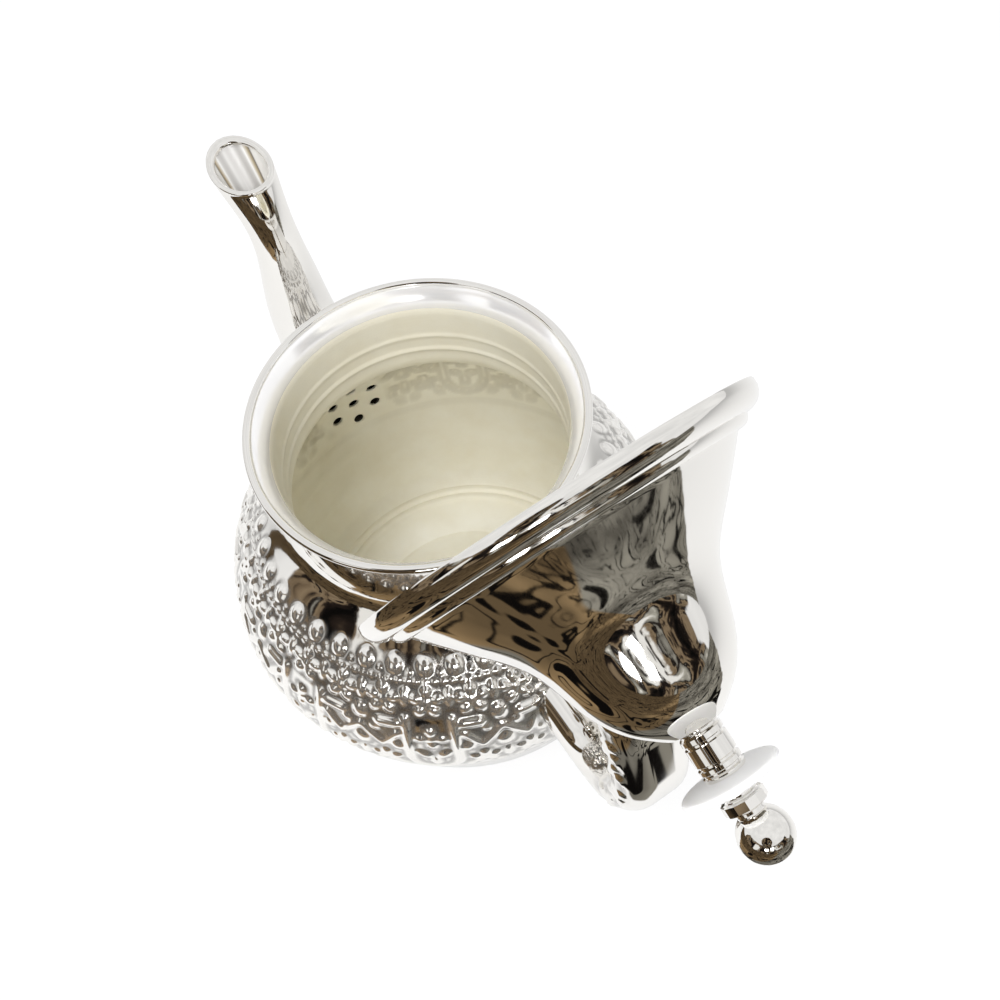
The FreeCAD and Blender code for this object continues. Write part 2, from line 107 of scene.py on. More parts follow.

# Polished silver plate: a mirror with a faint warm cast. Buffing leaves hair scratches under 0.1 mm
# wide, drawn here at 0.5 mm so that they show. Chased work is only scratch-brushed, so it is paler and
# less of a mirror, and dark polish stays in its low places, deepened there as painted shade.
polished_silver, tree = finish_named("polished_silver_plate")
place = add(tree, "ShaderNodeTexCoord").outputs["Object"]
stretch = add(tree, "ShaderNodeMapping", {"Vector": place, "Scale": (1, 1, 0.12)})
hair = add(tree, "ShaderNodeTexNoise", {"Vector": stretch, "Scale": 1 / (0.5 * MM), "Detail": 3.0})
swell = add(tree, "ShaderNodeTexNoise", {"Vector": place, "Scale": 1 / (26 * MM), "Detail": 1.0})
waves = add(tree, "ShaderNodeBump", {"Height": swell, "Strength": 0.1, "Distance": 0.35 * MM})
bump = add(tree, "ShaderNodeBump",
           {"Height": hair, "Strength": 0.03, "Distance": 0.02 * MM, "Normal": waves})
low = add(tree, "ShaderNodeAttribute", attribute_name="polish_and_painted_shade").outputs["Fac"]
tone = add(tree, "ShaderNodeMix", {"Factor": low, "A": linear("#F4F2EE"), "B": linear("#2B2620")},
           data_type="RGBA")
brushed = add(tree, "ShaderNodeAttribute", attribute_name="chased_work").outputs["Fac"]
mirror = add(tree, "ShaderNodeMapRange", {"Value": brushed, "To Min": 1.0, "To Max": 0.92})
film = add(tree, "ShaderNodeMapRange", {"Value": hair, "To Min": 0.02, "To Max": 0.075})
dull = add(tree, "ShaderNodeMath", {0: brushed, 1: 0.03, 2: film}, operation="MULTIPLY_ADD")
dull = add(tree, "ShaderNodeMath", {0: low, 1: 0.3, 2: dull}, operation="MULTIPLY_ADD")
silver = add(tree, "ShaderNodeBsdfPrincipled",
             {"Base Color": tone, "Metallic": mirror, "Roughness": dull, "Normal": bump})
add(tree, "ShaderNodeOutputMaterial", {"Surface": silver})


def bent(start, end, rise, count):
    """Points of an arc from start to end, whose middle stands rise to the right of the straight line."""
    start = np.array(start, float)
    end = np.array(end, float)
    along = (end - start) / np.linalg.norm(end - start)
    right = np.array([along[1], -along[0]])
    u = np.linspace(0, 1, count)[:, None]
    return start + (end - start) * u + right * rise * 4 * u * (1 - u)


def turned(outline, count):
    """Points and faces of an outline of (radius, height) in mm spun round Z; it closes on itself."""
    points = []
    faces = []
    loops = []
    angles = [2 * math.pi * i / count for i in range(count)]
    for r, z in outline:
        first = len(points)
        if r < 1e-6:
            points.append((0, 0, z * MM))
            loops.append([first] * count)
        else:
            points += [(r * MM * math.cos(t), r * MM * math.sin(t), z * MM) for t in angles]
            loops.append(list(range(first, first + count)))
    for lower, upper in zip(loops, loops[1:] + loops[:1]):
        for i in range(count):
            j = (i + 1) % count
            corners = list(dict.fromkeys((lower[i], lower[j], upper[j], upper[i])))
            if len(corners) > 2:
                faces.append(corners)
    return points, faces


def smooth_piece(name, points, faces, finishes, sharp=40):
    """A mesh object with smooth shading, and an edge kept where faces meet at more than sharp degrees."""
    mesh = bpy.data.meshes.new(name)
    mesh.from_pydata(points, [], faces)
    for finish in finishes:
        mesh.materials.append(finish)
    mesh.shade_smooth()
    mesh.set_sharp_from_angle(angle=math.radians(sharp))
    made = bpy.data.objects.new(name, mesh)
    bpy.context.scene.collection.objects.link(made)
    return made


def finish_faces(piece, numbers):
    """Says which of its finishes each face of a piece has."""
    piece.data.polygons.foreach_set("material_index", np.asarray(numbers, np.int32))


dish_under = [(0, 0.9), (40.5, 0.9), *bent((40.5, 0.9), (42.5, 0), 0.3, 5),
              (50.6, 0), (51.2, 0.2), (51.4, 0.8)]
dish_wall = [(51.4, 5.2), (49.8, 5.2), *bent((49.8, 5.0), (47.9, 3.4), -0.9, 9),
             *bent((47.9, 3.4), (45.4, 1.75), -0.9, 9)]
dish_floor = [(45.0, 1.6), (34.2, 1.55), (33.8, 1.1), (33.1, 1.05), (32.7, 1.5), (31.5, 1.6), (0, 1.6)]
points, faces = turned(dish_under + dish_wall + dish_floor, DISH_COLUMNS)
dish = smooth_piece("bottom_dish", points, faces, [polished_silver, satin_silver], sharp=50)
finish_faces(dish, np.arange(len(faces)) >= DISH_COLUMNS * (len(dish_under) + 1))
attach(dish, "pot")
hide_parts("base_dish")

# The body is spun from 1 mm sheet to a low belly and a straight neck. Its ornament is hammered out from
# within and chased from outside, so it stands proud and shows hollow inside. Seven strainer holes are
# drilled behind the spout.
WALL = 1.0
FOOT_R = 51.4
FOOT_INSIDE_R = 49.9
FOOT_Z = 5.2
HEEL = (54.6, 8.2)
BELLY_R = 65.1
BELLY_Z = 50.5
BELLY_RISE = 51.6
NECK_LOW = (39.1, 97.99)
NECK_TOP = (39.1, 115.69)


def smooth_line(points, count, start=None, end=None):
    """count points on a smooth cubic through the given points; start and end are its directions there."""
    knots = np.array(points, float)
    at = np.r_[0, np.cumsum(np.linalg.norm(np.diff(knots, axis=0), axis=1))]
    gaps = np.diff(at)
    last = len(knots) - 1
    weights = np.zeros((last + 1, last + 1))
    given = np.zeros_like(knots)
    for i in range(1, last):
        before = gaps[i - 1]
        after = gaps[i]
        weights[i, i - 1:i + 2] = after, 2 * (before + after), before
        onward = before * (knots[i + 1] - knots[i]) / after
        so_far = after * (knots[i] - knots[i - 1]) / before
        given[i] = 3 * (onward + so_far)
    for i, beside, way in ((0, 1, start), (last, last - 1, end)):
        if way is None:
            gap = gaps[0] if i == 0 else gaps[-1]
            weights[i, i] = 2
            weights[i, beside] = 1
            given[i] = 3 * (knots[max(i, beside)] - knots[min(i, beside)]) / gap
        else:
            weights[i, i] = 1
            given[i] = np.array(way, float) / np.linalg.norm(way)
    slopes = np.linalg.solve(weights, given)
    where = np.linspace(0, at[-1], count)
    k = np.clip(np.searchsorted(at, where, side="right") - 1, 0, last - 1)
    u = ((where - at[k]) / gaps[k])[:, None]
    gap = gaps[k][:, None]
    return ((1 + 2 * u) * (1 - u) ** 2 * knots[k] + u * (1 - u) ** 2 * gap * slopes[k]
            + u * u * (3 - 2 * u) * knots[k + 1] + u * u * (u - 1) * gap * slopes[k + 1])


def on_belly(degrees):
    """Radius and height at an angle along the ellipse that the belly follows."""
    angle = math.radians(degrees)
    return BELLY_R * math.cos(angle), BELLY_Z + BELLY_RISE * math.sin(angle)


UPRIGHT = (0, 1)
lower = smooth_line([HEEL, on_belly(-16), on_belly(0)], 300, (0.3, 1), UPRIGHT)
upper = smooth_line([on_belly(0), on_belly(21.5), on_belly(43), NECK_LOW], 500, UPRIGHT, UPRIGHT)
side = np.vstack([lower, upper[1:], smooth_line([NECK_LOW, NECK_TOP], 60)[1:]])
travel = np.r_[0, np.cumsum(np.linalg.norm(np.diff(side, axis=0), axis=1))]
travel -= np.interp(BELLY_Z, side[:, 1], travel)   # mm along the wall, from the belly's widest place

# The ornament's counts and sizes. Its heights are in mm along the wall, from the belly's widest place.
SHIELDS = 10
SHIELD_TURN = 0.1         # degrees, where the first shield stands
DROPS = 4                 # for each shield
BEADS = 14                # for each shield
BAND_LOW = -12.6
BAND_TOP = 42.0
BAND_R = 60.0             # at which the drawing is laid out
RELIEF = 0.85
SPOUT_TURN = -1.2         # degrees, the spout stands a little round from the line of the handle
SPOUT_FOOT = (SPOUT_TURN, 4.0, 12.0, 13.5)    # azimuth, height, half width and half height
HANDLE_FOOT = (180.0, 12.9, 10.2, 8.0)
FEET_R = 62.0             # of the wall under the two feet
FEET_FADE = 0.22          # the ornament rises over this share of a foot's size


def boss(x, y, middle_x, middle_y, half_wide, half_high, turn=0.0):
    """Height 0 to 1 of a round boss."""
    c = math.cos(math.radians(turn))
    s = math.sin(math.radians(turn))
    u = (x - middle_x) * c + (y - middle_y) * s
    v = (y - middle_y) * c - (x - middle_x) * s
    return np.sqrt(np.clip(1 - (u / half_wide) ** 2 - (v / half_high) ** 2, 0, 1))


def rib(x, y, run, half):
    """Height 0 to 1 of a round rib along a run of points."""
    away = np.full(x.shape, 1e3)
    for (from_x, from_y), (to_x, to_y) in zip(run, run[1:]):
        dx = to_x - from_x
        dy = to_y - from_y
        t = np.clip(((x - from_x) * dx + (y - from_y) * dy) / (dx * dx + dy * dy), 0, 1)
        away = np.minimum(away, np.hypot(x - from_x - t * dx, y - from_y - t * dy))
    return np.sqrt(np.clip(1 - (away / half) ** 2, 0, 1))


def rosette(x, y, middle_x, middle_y, size, petals=5):
    """A flower of broad round petals with a boss in the middle."""
    tops = [0.9 * boss(x, y, middle_x, middle_y, 0.27 * size, 0.27 * size)]
    for k in range(petals):
        turn = 90 + 360 * k / petals
        petal_x = middle_x + 0.62 * size * math.cos(math.radians(turn))
        petal_y = middle_y + 0.62 * size * math.sin(math.radians(turn))
        tops.append(boss(x, y, petal_x, petal_y, 0.4 * size, 0.31 * size, turn))
    return np.maximum.reduce(tops)


def chased(degrees, y):
    """Height of the ornament, about 1 at most, at an azimuth and a distance up the wall."""
    unit = 360 / SHIELDS
    turn = (degrees - SHIELD_TURN + unit / 2) % unit - unit / 2
    mm = math.radians(1) * BAND_R
    x = np.abs(turn) * mm
    wide = unit / 2 * mm
    drop_step = unit / DROPS * mm
    bead_step = unit / BEADS * mm
    drop = (turn * mm + drop_step / 2) % drop_step - drop_step / 2
    bead = (turn * mm + bead_step / 2) % bead_step - bead_step / 2
    # a row of drops under the plain shoulder, over a rope of beads
    tops = [1.1 * boss(drop, y, 0, 36.6, 2.6, 3.0)]
    tops.append(0.6 * boss(np.abs(drop), y, drop_step / 2, 34.8, 1.0, 0.9))
    tops.append(0.75 * boss(bead, y, 0, 32.3, 1.25, 0.95))
    # broad flowers, one over each shield and two between, with a leaf between each two
    tops += [1.15 * rosette(x, y, middle, 26.2, 5.2) for middle in (0.0, wide * 2 / 3)]
    tops += [1.0 * boss(x, y, middle, 27.6, 1.3, 3.2) for middle in (wide / 3, wide)]
    # the shields: a U-shaped rib with a bar on either side of its top, a flower and leaves inside it
    tops.append(1.0 * rib(x, y, [(6.3, 20.4), (6.3, 1.0), (5.4, -2.6), (3.4, -5.0), (0, -6.2)], 1.15))
    tops.append(1.25 * rib(x, y, [(8.9, 18.2), (13.4, 18.2)], 1.7))
    tops.append(1.1 * rosette(x, y, 0, 12.6, 4.5, 4))
    tops.append(1.0 * boss(x, y, 2.5, 4.4, 2.7, 1.3, 48))
    tops.append(1.0 * boss(x, y, 0, -0.4, 1.4, 3.2))
    # between them: a bracket line that points down, leaves about it, and a sprig below
    tops.append(1.1 * rib(x, y, [(8.8, 14.4), (13.0, 8.6), (wide, 15.4)], 1.2))
    tops.append(1.1 * boss(x, y, wide, 20.4, 2.2, 3.0))
    tops.append(0.9 * boss(x, y, wide - 3.9, 15.6, 1.5, 1.5))
    tops.append(1.0 * boss(x, y, 9.2, 8.2, 1.6, 2.2, -20))
    tops.append(1.1 * boss(x, y, wide, 8.6, 2.2, 2.9))
    tops.append(1.05 * rosette(x, y, 12.8, 0.6, 4.3))
    tops.append(1.0 * boss(x, y, wide, 0.4, 1.3, 3.6))
    tops.append(0.9 * boss(x, y, 8.6, -4.4, 1.2, 2.4, -30))
    tops.append(0.9 * boss(x, y, 16.4, -5.4, 1.2, 2.2, 35))
    # one fine line closes the band below, and the work grows shallower towards the foot
    tops.append(0.6 * rib(x, y, [(0, -10.4), (wide, -10.4)], 0.7))
    return np.maximum.reduce(tops) * np.clip((y + 17) / 17, 0.4, 1)


def clear_of_joints(degrees, y):
    """1 on open wall, falling to 0 under the soldered feet of the spout and the handle."""
    keep = np.ones(degrees.shape)
    for turn, middle_y, half_wide, half_high in (SPOUT_FOOT, HANDLE_FOOT):
        x = np.radians((degrees - turn + 180) % 360 - 180) * FEET_R
        away = np.hypot(x / half_wide, (y - middle_y) / half_high)
        keep = np.minimum(keep, np.clip((away - 1.0) / FEET_FADE, 0, 1))
    return keep


def wall_grid(columns, steps, depth, share, soften):
    """Points of the wall moved inwards by depth, with a share of the ornament's height, and that height."""
    r = np.interp(steps, travel, side[:, 0])
    z = np.interp(steps, travel, side[:, 1])
    out_r = np.interp(steps, travel, np.gradient(side[:, 1], travel))
    out_z = -np.interp(steps, travel, np.gradient(side[:, 0], travel))
    degrees = np.arange(columns) * 360.0 / columns
    turn, y = np.meshgrid(degrees, steps)
    height = chased(turn, y) * clear_of_joints(turn, y) * RELIEF
    for _ in range(soften):
        height = (np.roll(height, 1, 1) + 2 * height + np.roll(height, -1, 1)) / 4
        height[1:-1] = (height[:-2] + 2 * height[1:-1] + height[2:]) / 4
    move = height * share - depth
    radius = r[:, None] + move * out_r[:, None]
    up = z[:, None] + move * out_z[:, None]
    angle = np.radians(turn)
    return np.stack([radius * np.cos(angle), radius * np.sin(angle), up], -1) * MM, height


def grid_faces(rows, columns, first, outward):
    """Faces between rows of points that each run once round the piece."""
    here = np.arange(columns)
    beside = (here + 1) % columns
    faces = []
    for k in range(rows - 1):
        low = first + k * columns
        high = low + columns
        quads = np.stack([low + here, low + beside, high + beside, high + here], -1)
        faces += (quads if outward else quads[:, ::-1]).tolist()
    return faces


def mark_points(piece, name, values):
    """A value for each point of a piece, which its finish reads by name."""
    layer = piece.data.attributes.new(name, "FLOAT", "POINT")
    layer.data.foreach_set("value", np.asarray(values, np.float32))


OUTER_COLUMNS = 960
INNER_COLUMNS = 480       # half as many, so that the two edges can be sewn together
PLAIN_STEP = 1.6          # mm between rows of points
CHASED_STEP = 0.42
DENTED_STEP = 0.8
BEADED_STEP = 0.6
WALL_BEADS = ((107.2, 0.35), (101.4, 0.45), (33.0, 0.4), (21.0, 0.5))   # height, how proud inside
WALL_BEAD_HALF = 0.7
below_band = np.arange(travel[0], BAND_LOW, PLAIN_STEP)
outer_steps = np.r_[below_band, np.arange(BAND_LOW, BAND_TOP, CHASED_STEP),
                    np.arange(BAND_TOP, travel[-1], PLAIN_STEP), travel[-1]]
inner_steps = np.r_[below_band, np.arange(BAND_LOW, BAND_TOP, DENTED_STEP),
                    np.arange(BAND_TOP, travel[-1], BEADED_STEP), travel[-1]]
outer, raised = wall_grid(OUTER_COLUMNS, outer_steps, depth=0.0, share=1.0, soften=3)
inner, sunk = wall_grid(INNER_COLUMNS, inner_steps, depth=WALL, share=0.75, soften=0)
for bead_z, proud in WALL_BEADS:
    bulge = proud * np.exp(-((inner[..., 2] / MM - bead_z) / WALL_BEAD_HALF) ** 2)
    inner[..., :2] *= (1 - bulge * MM / np.hypot(inner[..., 0], inner[..., 1]))[..., None]
foot_angles = np.radians(np.arange(OUTER_COLUMNS) * 360 / OUTER_COLUMNS)
foot_ring = np.stack([FOOT_R * np.cos(foot_angles), FOOT_R * np.sin(foot_angles),
                      np.full(OUTER_COLUMNS, FOOT_Z)], -1) * MM
foot_inside = foot_ring[::2] * [FOOT_INSIDE_R / FOOT_R, FOOT_INSIDE_R / FOOT_R, 1]
outer = np.concatenate([foot_ring[None], outer])
inner = np.concatenate([foot_inside[None], inner])
points = np.vstack([outer.reshape(-1, 3), inner.reshape(-1, 3)])

first_inside = len(outer) * OUTER_COLUMNS
faces = grid_faces(len(outer), OUTER_COLUMNS, first=0, outward=True)
outside_faces = len(faces)
faces += grid_faces(len(inner), INNER_COLUMNS, first=first_inside, outward=False)
foot_edge = (0, first_inside, False)
neck_edge = (first_inside - OUTER_COLUMNS, len(points) - INNER_COLUMNS, True)
for ring_out, ring_in, upward in (foot_edge, neck_edge):
    for i in range(INNER_COLUMNS):
        a, b, c = (ring_out + (2 * i + k) % OUTER_COLUMNS for k in range(3))
        p = ring_in + i
        q = ring_in + (i + 1) % INNER_COLUMNS
        sewn = [[a, b, p], [b, q, p], [b, c, q]]
        faces += sewn if upward else [corners[::-1] for corners in sewn]
body = smooth_piece("body", points.tolist(), faces, [polished_silver, satin_silver], sharp=60)
finish_faces(body, np.arange(len(faces)) >= outside_faces)

# Outside, dark polish stays between the raised forms, deepened as painted shade; both marks fade over 3 mm
# at the band's edges. Inside, the dents' edges are painted shade, and the neck is darker from 94 mm up.
hollow = 1 - np.clip(raised / 0.3, 0, 1)
near = np.maximum.reduce([np.roll(raised, (i, j), (0, 1)) for i in (-3, 0, 3) for j in (-3, 0, 3)])
within = np.clip((outer_steps - BAND_LOW) / 3, 0, 1) * np.clip((BAND_TOP - 1 - outer_steps) / 3, 0, 1)
about = [np.roll(sunk, (i, j), (0, 1)) for i in (-1, 0, 1) for j in (-1, 0, 1)]
steep = np.clip((np.maximum.reduce(about) - np.minimum.reduce(about)) / 0.8, 0, 1)
darker_neck = 0.2 * np.clip((inner[1:, :, 2] / MM - 94) / 6, 0, 1)
polish_and_shade_between = 0.55 * hollow * np.clip(near / 0.4, 0, 1) * within[:, None]
brushed_work = np.clip(np.maximum(near, raised) / 0.4, 0, 1) * within[:, None]
darkening_marks = np.zeros(len(points))
darkening_marks[OUTER_COLUMNS:first_inside] = polish_and_shade_between.ravel()
darkening_marks[first_inside + INNER_COLUMNS:] = np.maximum(0.28 * steep, darker_neck).ravel()
mark_points(body, "polish_and_painted_shade", darkening_marks)
worked = np.zeros(len(points))
worked[OUTER_COLUMNS:first_inside] = brushed_work.ravel()
mark_points(body, "chased_work", worked)

# The strainer's drill, one straight bit for each of the seven holes
HOLE_R = 1.75
HOLE_RING_R = 8.2
HOLE_Z = 53.0
HOLE_ASIDE = 0.7
BIT_SIDES = 24
BIT_REACH = (45, 72)
around_bit = np.linspace(0, 2 * math.pi, BIT_SIDES + 1)[:-1]
holes = [(0, 0)]
for t in (k * math.pi / 3 for k in range(6)):
    holes.append((HOLE_RING_R * math.sin(t), HOLE_RING_R * math.cos(t)))
drill_points = []
drill_faces = []
for y, z in holes:
    first = len(drill_points)
    for x in BIT_REACH:
        drill_points += [(x * MM, (y - HOLE_ASIDE + HOLE_R * math.cos(t)) * MM,
                          (HOLE_Z + z + HOLE_R * math.sin(t)) * MM) for t in around_bit]
    drill_faces += grid_faces(2, BIT_SIDES, first=first, outward=True)
    drill_faces.append([first + i for i in reversed(range(BIT_SIDES))])
    drill_faces.append([first + BIT_SIDES + i for i in range(BIT_SIDES)])
drill = smooth_piece("drill", drill_points, drill_faces, [satin_silver])
drill.matrix_world = Matrix.Rotation(math.radians(SPOUT_TURN), 4, "Z")
cut = body.modifiers.new("strainer_holes", "BOOLEAN")
cut.object = drill
cut.operation = "DIFFERENCE"
cut.solver = "EXACT"
bpy.context.view_layer.update()
drilled = bpy.data.meshes.new_from_object(body.evaluated_get(bpy.context.evaluated_depsgraph_get()))
body.modifiers.clear()
body.data = drilled
bpy.data.objects.remove(drill)
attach(body, "pot")
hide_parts("body_shell")

# The mouth is a flared ring of the same sheet with its edge rolled over a wire, soldered on the neck
# and buffed inside and out, so a bright line parts it from the satin throat.
MOUTH_COLUMNS = 256
THROAT_R = NECK_TOP[0] - WALL
RIM_WIRE = (42.9, 123.89)
RIM_WIRE_R = 1.1
FLARE_ROWS = 24
ROLL_ROWS = 26
SOFT_ROWS = 4             # the last ones of the roll, which the cloth reaches from inside
SATIN_ROWS = 8            # the lowest ones inside, which no buff reaches
OPEN_WAY = (1, 1)
flare_in = smooth_line([(THROAT_R, NECK_TOP[1]), (RIM_WIRE[0] - RIM_WIRE_R, RIM_WIRE[1])],
                       FLARE_ROWS, UPRIGHT, OPEN_WAY)
flare_out = smooth_line([NECK_TOP, (RIM_WIRE[0], RIM_WIRE[1] - RIM_WIRE_R)],
                        FLARE_ROWS, UPRIGHT, OPEN_WAY)
roll = [(RIM_WIRE[0] + RIM_WIRE_R * math.cos(t), RIM_WIRE[1] + RIM_WIRE_R * math.sin(t))
        for t in np.linspace(-math.pi / 2, math.pi, ROLL_ROWS)]
mouth_outline = [*flare_out[:-1], *roll, *flare_in[::-1][1:]]

# Soft-buffed silver plate: rubbed by cloth only, so it is bright but blurs what it reflects, and the
# cloth's lines run round the ring about 0.4 mm apart.
soft_silver, tree = finish_named("soft_buffed_silver_plate")
place = add(tree, "ShaderNodeTexCoord").outputs["Object"]
squash = add(tree, "ShaderNodeMapping", {"Vector": place, "Scale": (0.1, 0.1, 1)})
cloth = add(tree, "ShaderNodeTexNoise", {"Vector": squash, "Scale": 1 / (0.4 * MM), "Detail": 3.0})
patch = add(tree, "ShaderNodeTexNoise", {"Vector": place, "Scale": 1 / (9 * MM), "Detail": 3.0})
blur = add(tree, "ShaderNodeMapRange", {"Value": patch, "To Min": 0.08, "To Max": 0.26})
bump = add(tree, "ShaderNodeBump", {"Height": cloth, "Strength": 0.1, "Distance": 0.03 * MM})
tone = add(tree, "ShaderNodeMix", {"Factor": patch, "A": linear("#F8F7F5"), "B": linear("#F0F0F4")},
           data_type="RGBA")
silver = add(tree, "ShaderNodeBsdfPrincipled",
             {"Base Color": tone, "Metallic": 0.5, "Roughness": blur, "Normal": bump})
add(tree, "ShaderNodeOutputMaterial", {"Surface": silver})

points, faces = turned(mouth_outline, MOUTH_COLUMNS)
mouth = smooth_piece("mouth", points, faces, [polished_silver, soft_silver, satin_silver], sharp=50)
face_rows = np.arange(len(faces)) // MOUTH_COLUMNS
point_rows = np.arange(len(points)) // MOUTH_COLUMNS
soft_row = FLARE_ROWS - 1 + ROLL_ROWS - SOFT_ROWS
satin_row = len(mouth_outline) - SATIN_ROWS
finish_faces(mouth, np.where(face_rows >= satin_row, 2, np.where(face_rows >= soft_row, 1, 0)))
# The lowest satin rows of the throat are a little darker, like the neck under them.
mark_points(mouth, "polish_and_painted_shade", np.where(point_rows >= satin_row - 1, 0.2, 0.0))
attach(mouth, "pot")
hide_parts("mouth_rim")

# The spout is a tapered tube of sheet, bent up from the belly, with a thick lip rolled round its mouth.
# Its root is fitted to the belly and soldered with a small fillet.
SPOUT_COLUMNS = 96
SPOUT_ROWS = 110
LIP_T = 1.9
LIP_RINGS = 10
FILLET = 1.3
FILLET_REACH = 1.6
TIP_Z = 130.99
SPOUT_SINK = 0.5          # of the root into the belly's wall
SPOUT_STATIONS = [(53.1, 51.95, 82, 12.0), (69.55, 58.15, 66, 11.64), (86.0, 78.3, 8, 10.25),
                  (86.0, 96.9, 0, 8.5), (88.1, 120.14, 22, 7.0), (96.5, TIP_Z, 44, 8.9),
                  (107.18, 139.89, 52, 9.79)]    # x, z, lean in degrees, radius


def spout_columns(less, less_at_lip):
    """Rows of points up the tube, each row once round it, from the belly's wall to the mouth's level."""
    samples = 900
    columns = []
    for turn in np.linspace(0, 2 * math.pi, SPOUT_COLUMNS + 1)[:-1]:
        through = []
        for k, (x, z, lean, radius) in enumerate(SPOUT_STATIONS):
            radius -= less_at_lip if k >= len(SPOUT_STATIONS) - 2 else less
            angle = math.radians(lean)
            u = radius * math.cos(turn)
            v = radius * math.sin(turn)
            through.append((x + u * math.cos(angle), v, z - u * math.sin(angle)))
        line = smooth_line(through, samples)
        wall = np.interp(line[:, 2], side[:, 1], side[:, 0])
        inside = np.nonzero(np.hypot(line[:, 0], line[:, 1]) < wall - SPOUT_SINK)[0]
        above = np.nonzero(line[:, 2] > TIP_Z)[0]
        where = np.linspace(inside[-1], above[0], SPOUT_ROWS)
        columns.append(np.stack([np.interp(where, np.arange(samples), line[:, k]) for k in range(3)], -1))
    return np.stack(columns, 1)


tube_out = spout_columns(0, 0)
tube_in = spout_columns(WALL, LIP_T)
from_middle = tube_out - tube_out.mean(1, keepdims=True)
from_root = np.linalg.norm(tube_out - tube_out[:1], axis=-1, keepdims=True)
fillet = FILLET * np.exp(-(from_root / FILLET_REACH) ** 2)
tube_out = tube_out + from_middle / np.linalg.norm(from_middle, axis=-1, keepdims=True) * fillet
lip_middle = (tube_out[-1] + tube_in[-1]) / 2
lip_half = (tube_out[-1] - tube_in[-1]) / 2
lip_thick = np.linalg.norm(lip_half, axis=1, keepdims=True)
lip_rings = []
for t in np.linspace(0, math.pi, LIP_RINGS + 2)[1:-1]:
    over = np.array([0, 0, 0.85 * math.sin(t)]) * lip_thick
    lip_rings.append(lip_middle + lip_half * math.cos(t) * (1 + 0.25 * math.sin(t)) + over)
tube = np.concatenate([tube_out, np.array(lip_rings), tube_in[::-1]])
faces = grid_faces(len(tube), SPOUT_COLUMNS, first=0, outward=False)
last = (len(tube) - 1) * SPOUT_COLUMNS
for i in range(SPOUT_COLUMNS):
    beside = (i + 1) % SPOUT_COLUMNS
    faces.append([i, beside, last + beside, last + i])

# The bore of the tube: plating reaches only a few centimetres down it, in broad streaks left by
# drawing, and below that the bare brass has gone dark brown.
bore, tree = finish_named("drawn_bore_part_plated")
around = add(tree, "ShaderNodeAttribute", attribute_name="around").outputs["Fac"]
deep = add(tree, "ShaderNodeAttribute", attribute_name="deep").outputs["Fac"]
lane = add(tree, "ShaderNodeCombineXYZ", {"X": around, "Y": deep})
lane = add(tree, "ShaderNodeMapping", {"Vector": lane, "Scale": (2.6, 0.8, 1)})
streak = add(tree, "ShaderNodeTexNoise", {"Vector": lane, "Scale": 1.0, "Detail": 2.0})
plated = add(tree, "ShaderNodeValToRGB", {"Fac": streak}, stops=(
    (0.3, "#8D8A86"), (0.42, "#C9C7C4"), (0.47, "#F4F3F1"), (0.50, "#B7A88C"), (0.53, "#77726A"),
    (0.56, "#E4E2DE"), (0.7, "#F6F5F3")))
gone_dark = add(tree, "ShaderNodeMapRange", {"Value": deep, "From Min": 0.22, "From Max": 0.5})
tone = add(tree, "ShaderNodeMix", {"Factor": gone_dark, "A": plated, "B": linear("#17120D")},
           data_type="RGBA")
metal = add(tree, "ShaderNodeBsdfPrincipled", {"Base Color": tone, "Metallic": 0.45, "Roughness": 0.34})
add(tree, "ShaderNodeOutputMaterial", {"Surface": metal})

points = tube.reshape(-1, 3) * MM
spout = smooth_piece("spout_tube", points.tolist(), faces, [polished_silver, bore], sharp=60)
bore_row = SPOUT_ROWS + LIP_RINGS
finish_faces(spout, np.arange(len(faces)) >= bore_row * SPOUT_COLUMNS)
row, column = np.divmod(np.arange(len(tube) * SPOUT_COLUMNS), SPOUT_COLUMNS)
mark_points(spout, "around", np.abs(column / SPOUT_COLUMNS * 2 - 1))
mark_points(spout, "deep", np.clip((row - bore_row) / SPOUT_ROWS, 0, 1))
spout.data.transform(Matrix.Rotation(math.radians(SPOUT_TURN), 4, "Z"))
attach(spout, "pot")
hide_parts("spout")

# The handle is a solid casting in the shape of an ear, plated and buffed, and soldered at neck and
# belly. Its back is a plain band for the palm, and leaves are cast in low relief along both sides.
HANDLE_CORNERS = [(-38.1, 108.99), (-59.0, 108.99), (-78.0, 138.66), (-91.39, 123.83),
                  (-99.01, 86.05), (-84.73, 63.1), (-58.59, 63.1)]    # x, z of its centre line
NEAR_NECK = -40.5         # x where the casting stops short of the wall, before it is fitted
NEAR_BELLY = -66.0
HANDLE_W = 18.5
HANDLE_T = 13.5
HANDLE_EDGE_R = 6.2
HANDLE_ROWS = 420
LEAF_STEP = 24.0          # along the bar, from one leaf to the next
LEAF_H = 0.95


def rounded(before, corner, after):
    """Points of the arc that rounds a corner of the centre line, nearly as large as its two runs allow."""
    before, corner, after = (np.array(p) for p in (before, corner, after))
    reach = 0.48 * min(np.linalg.norm(before - corner), np.linalg.norm(after - corner))
    back = (before - corner) / np.linalg.norm(before - corner)
    ahead = (after - corner) / np.linalg.norm(after - corner)
    half = math.acos(np.clip(back @ ahead, -1, 1)) / 2
    middle = (back + ahead) / np.linalg.norm(back + ahead)
    across = np.array([-middle[1], middle[0]])
    if across @ ahead < 0:
        across = -across
    hub = corner + middle * reach / math.cos(half)
    radius = reach * math.tan(half)
    swings = np.linspace(-1, 1, 24) * (math.pi / 2 - half)
    return [hub - middle * radius * math.cos(t) + across * radius * math.sin(t) for t in swings]


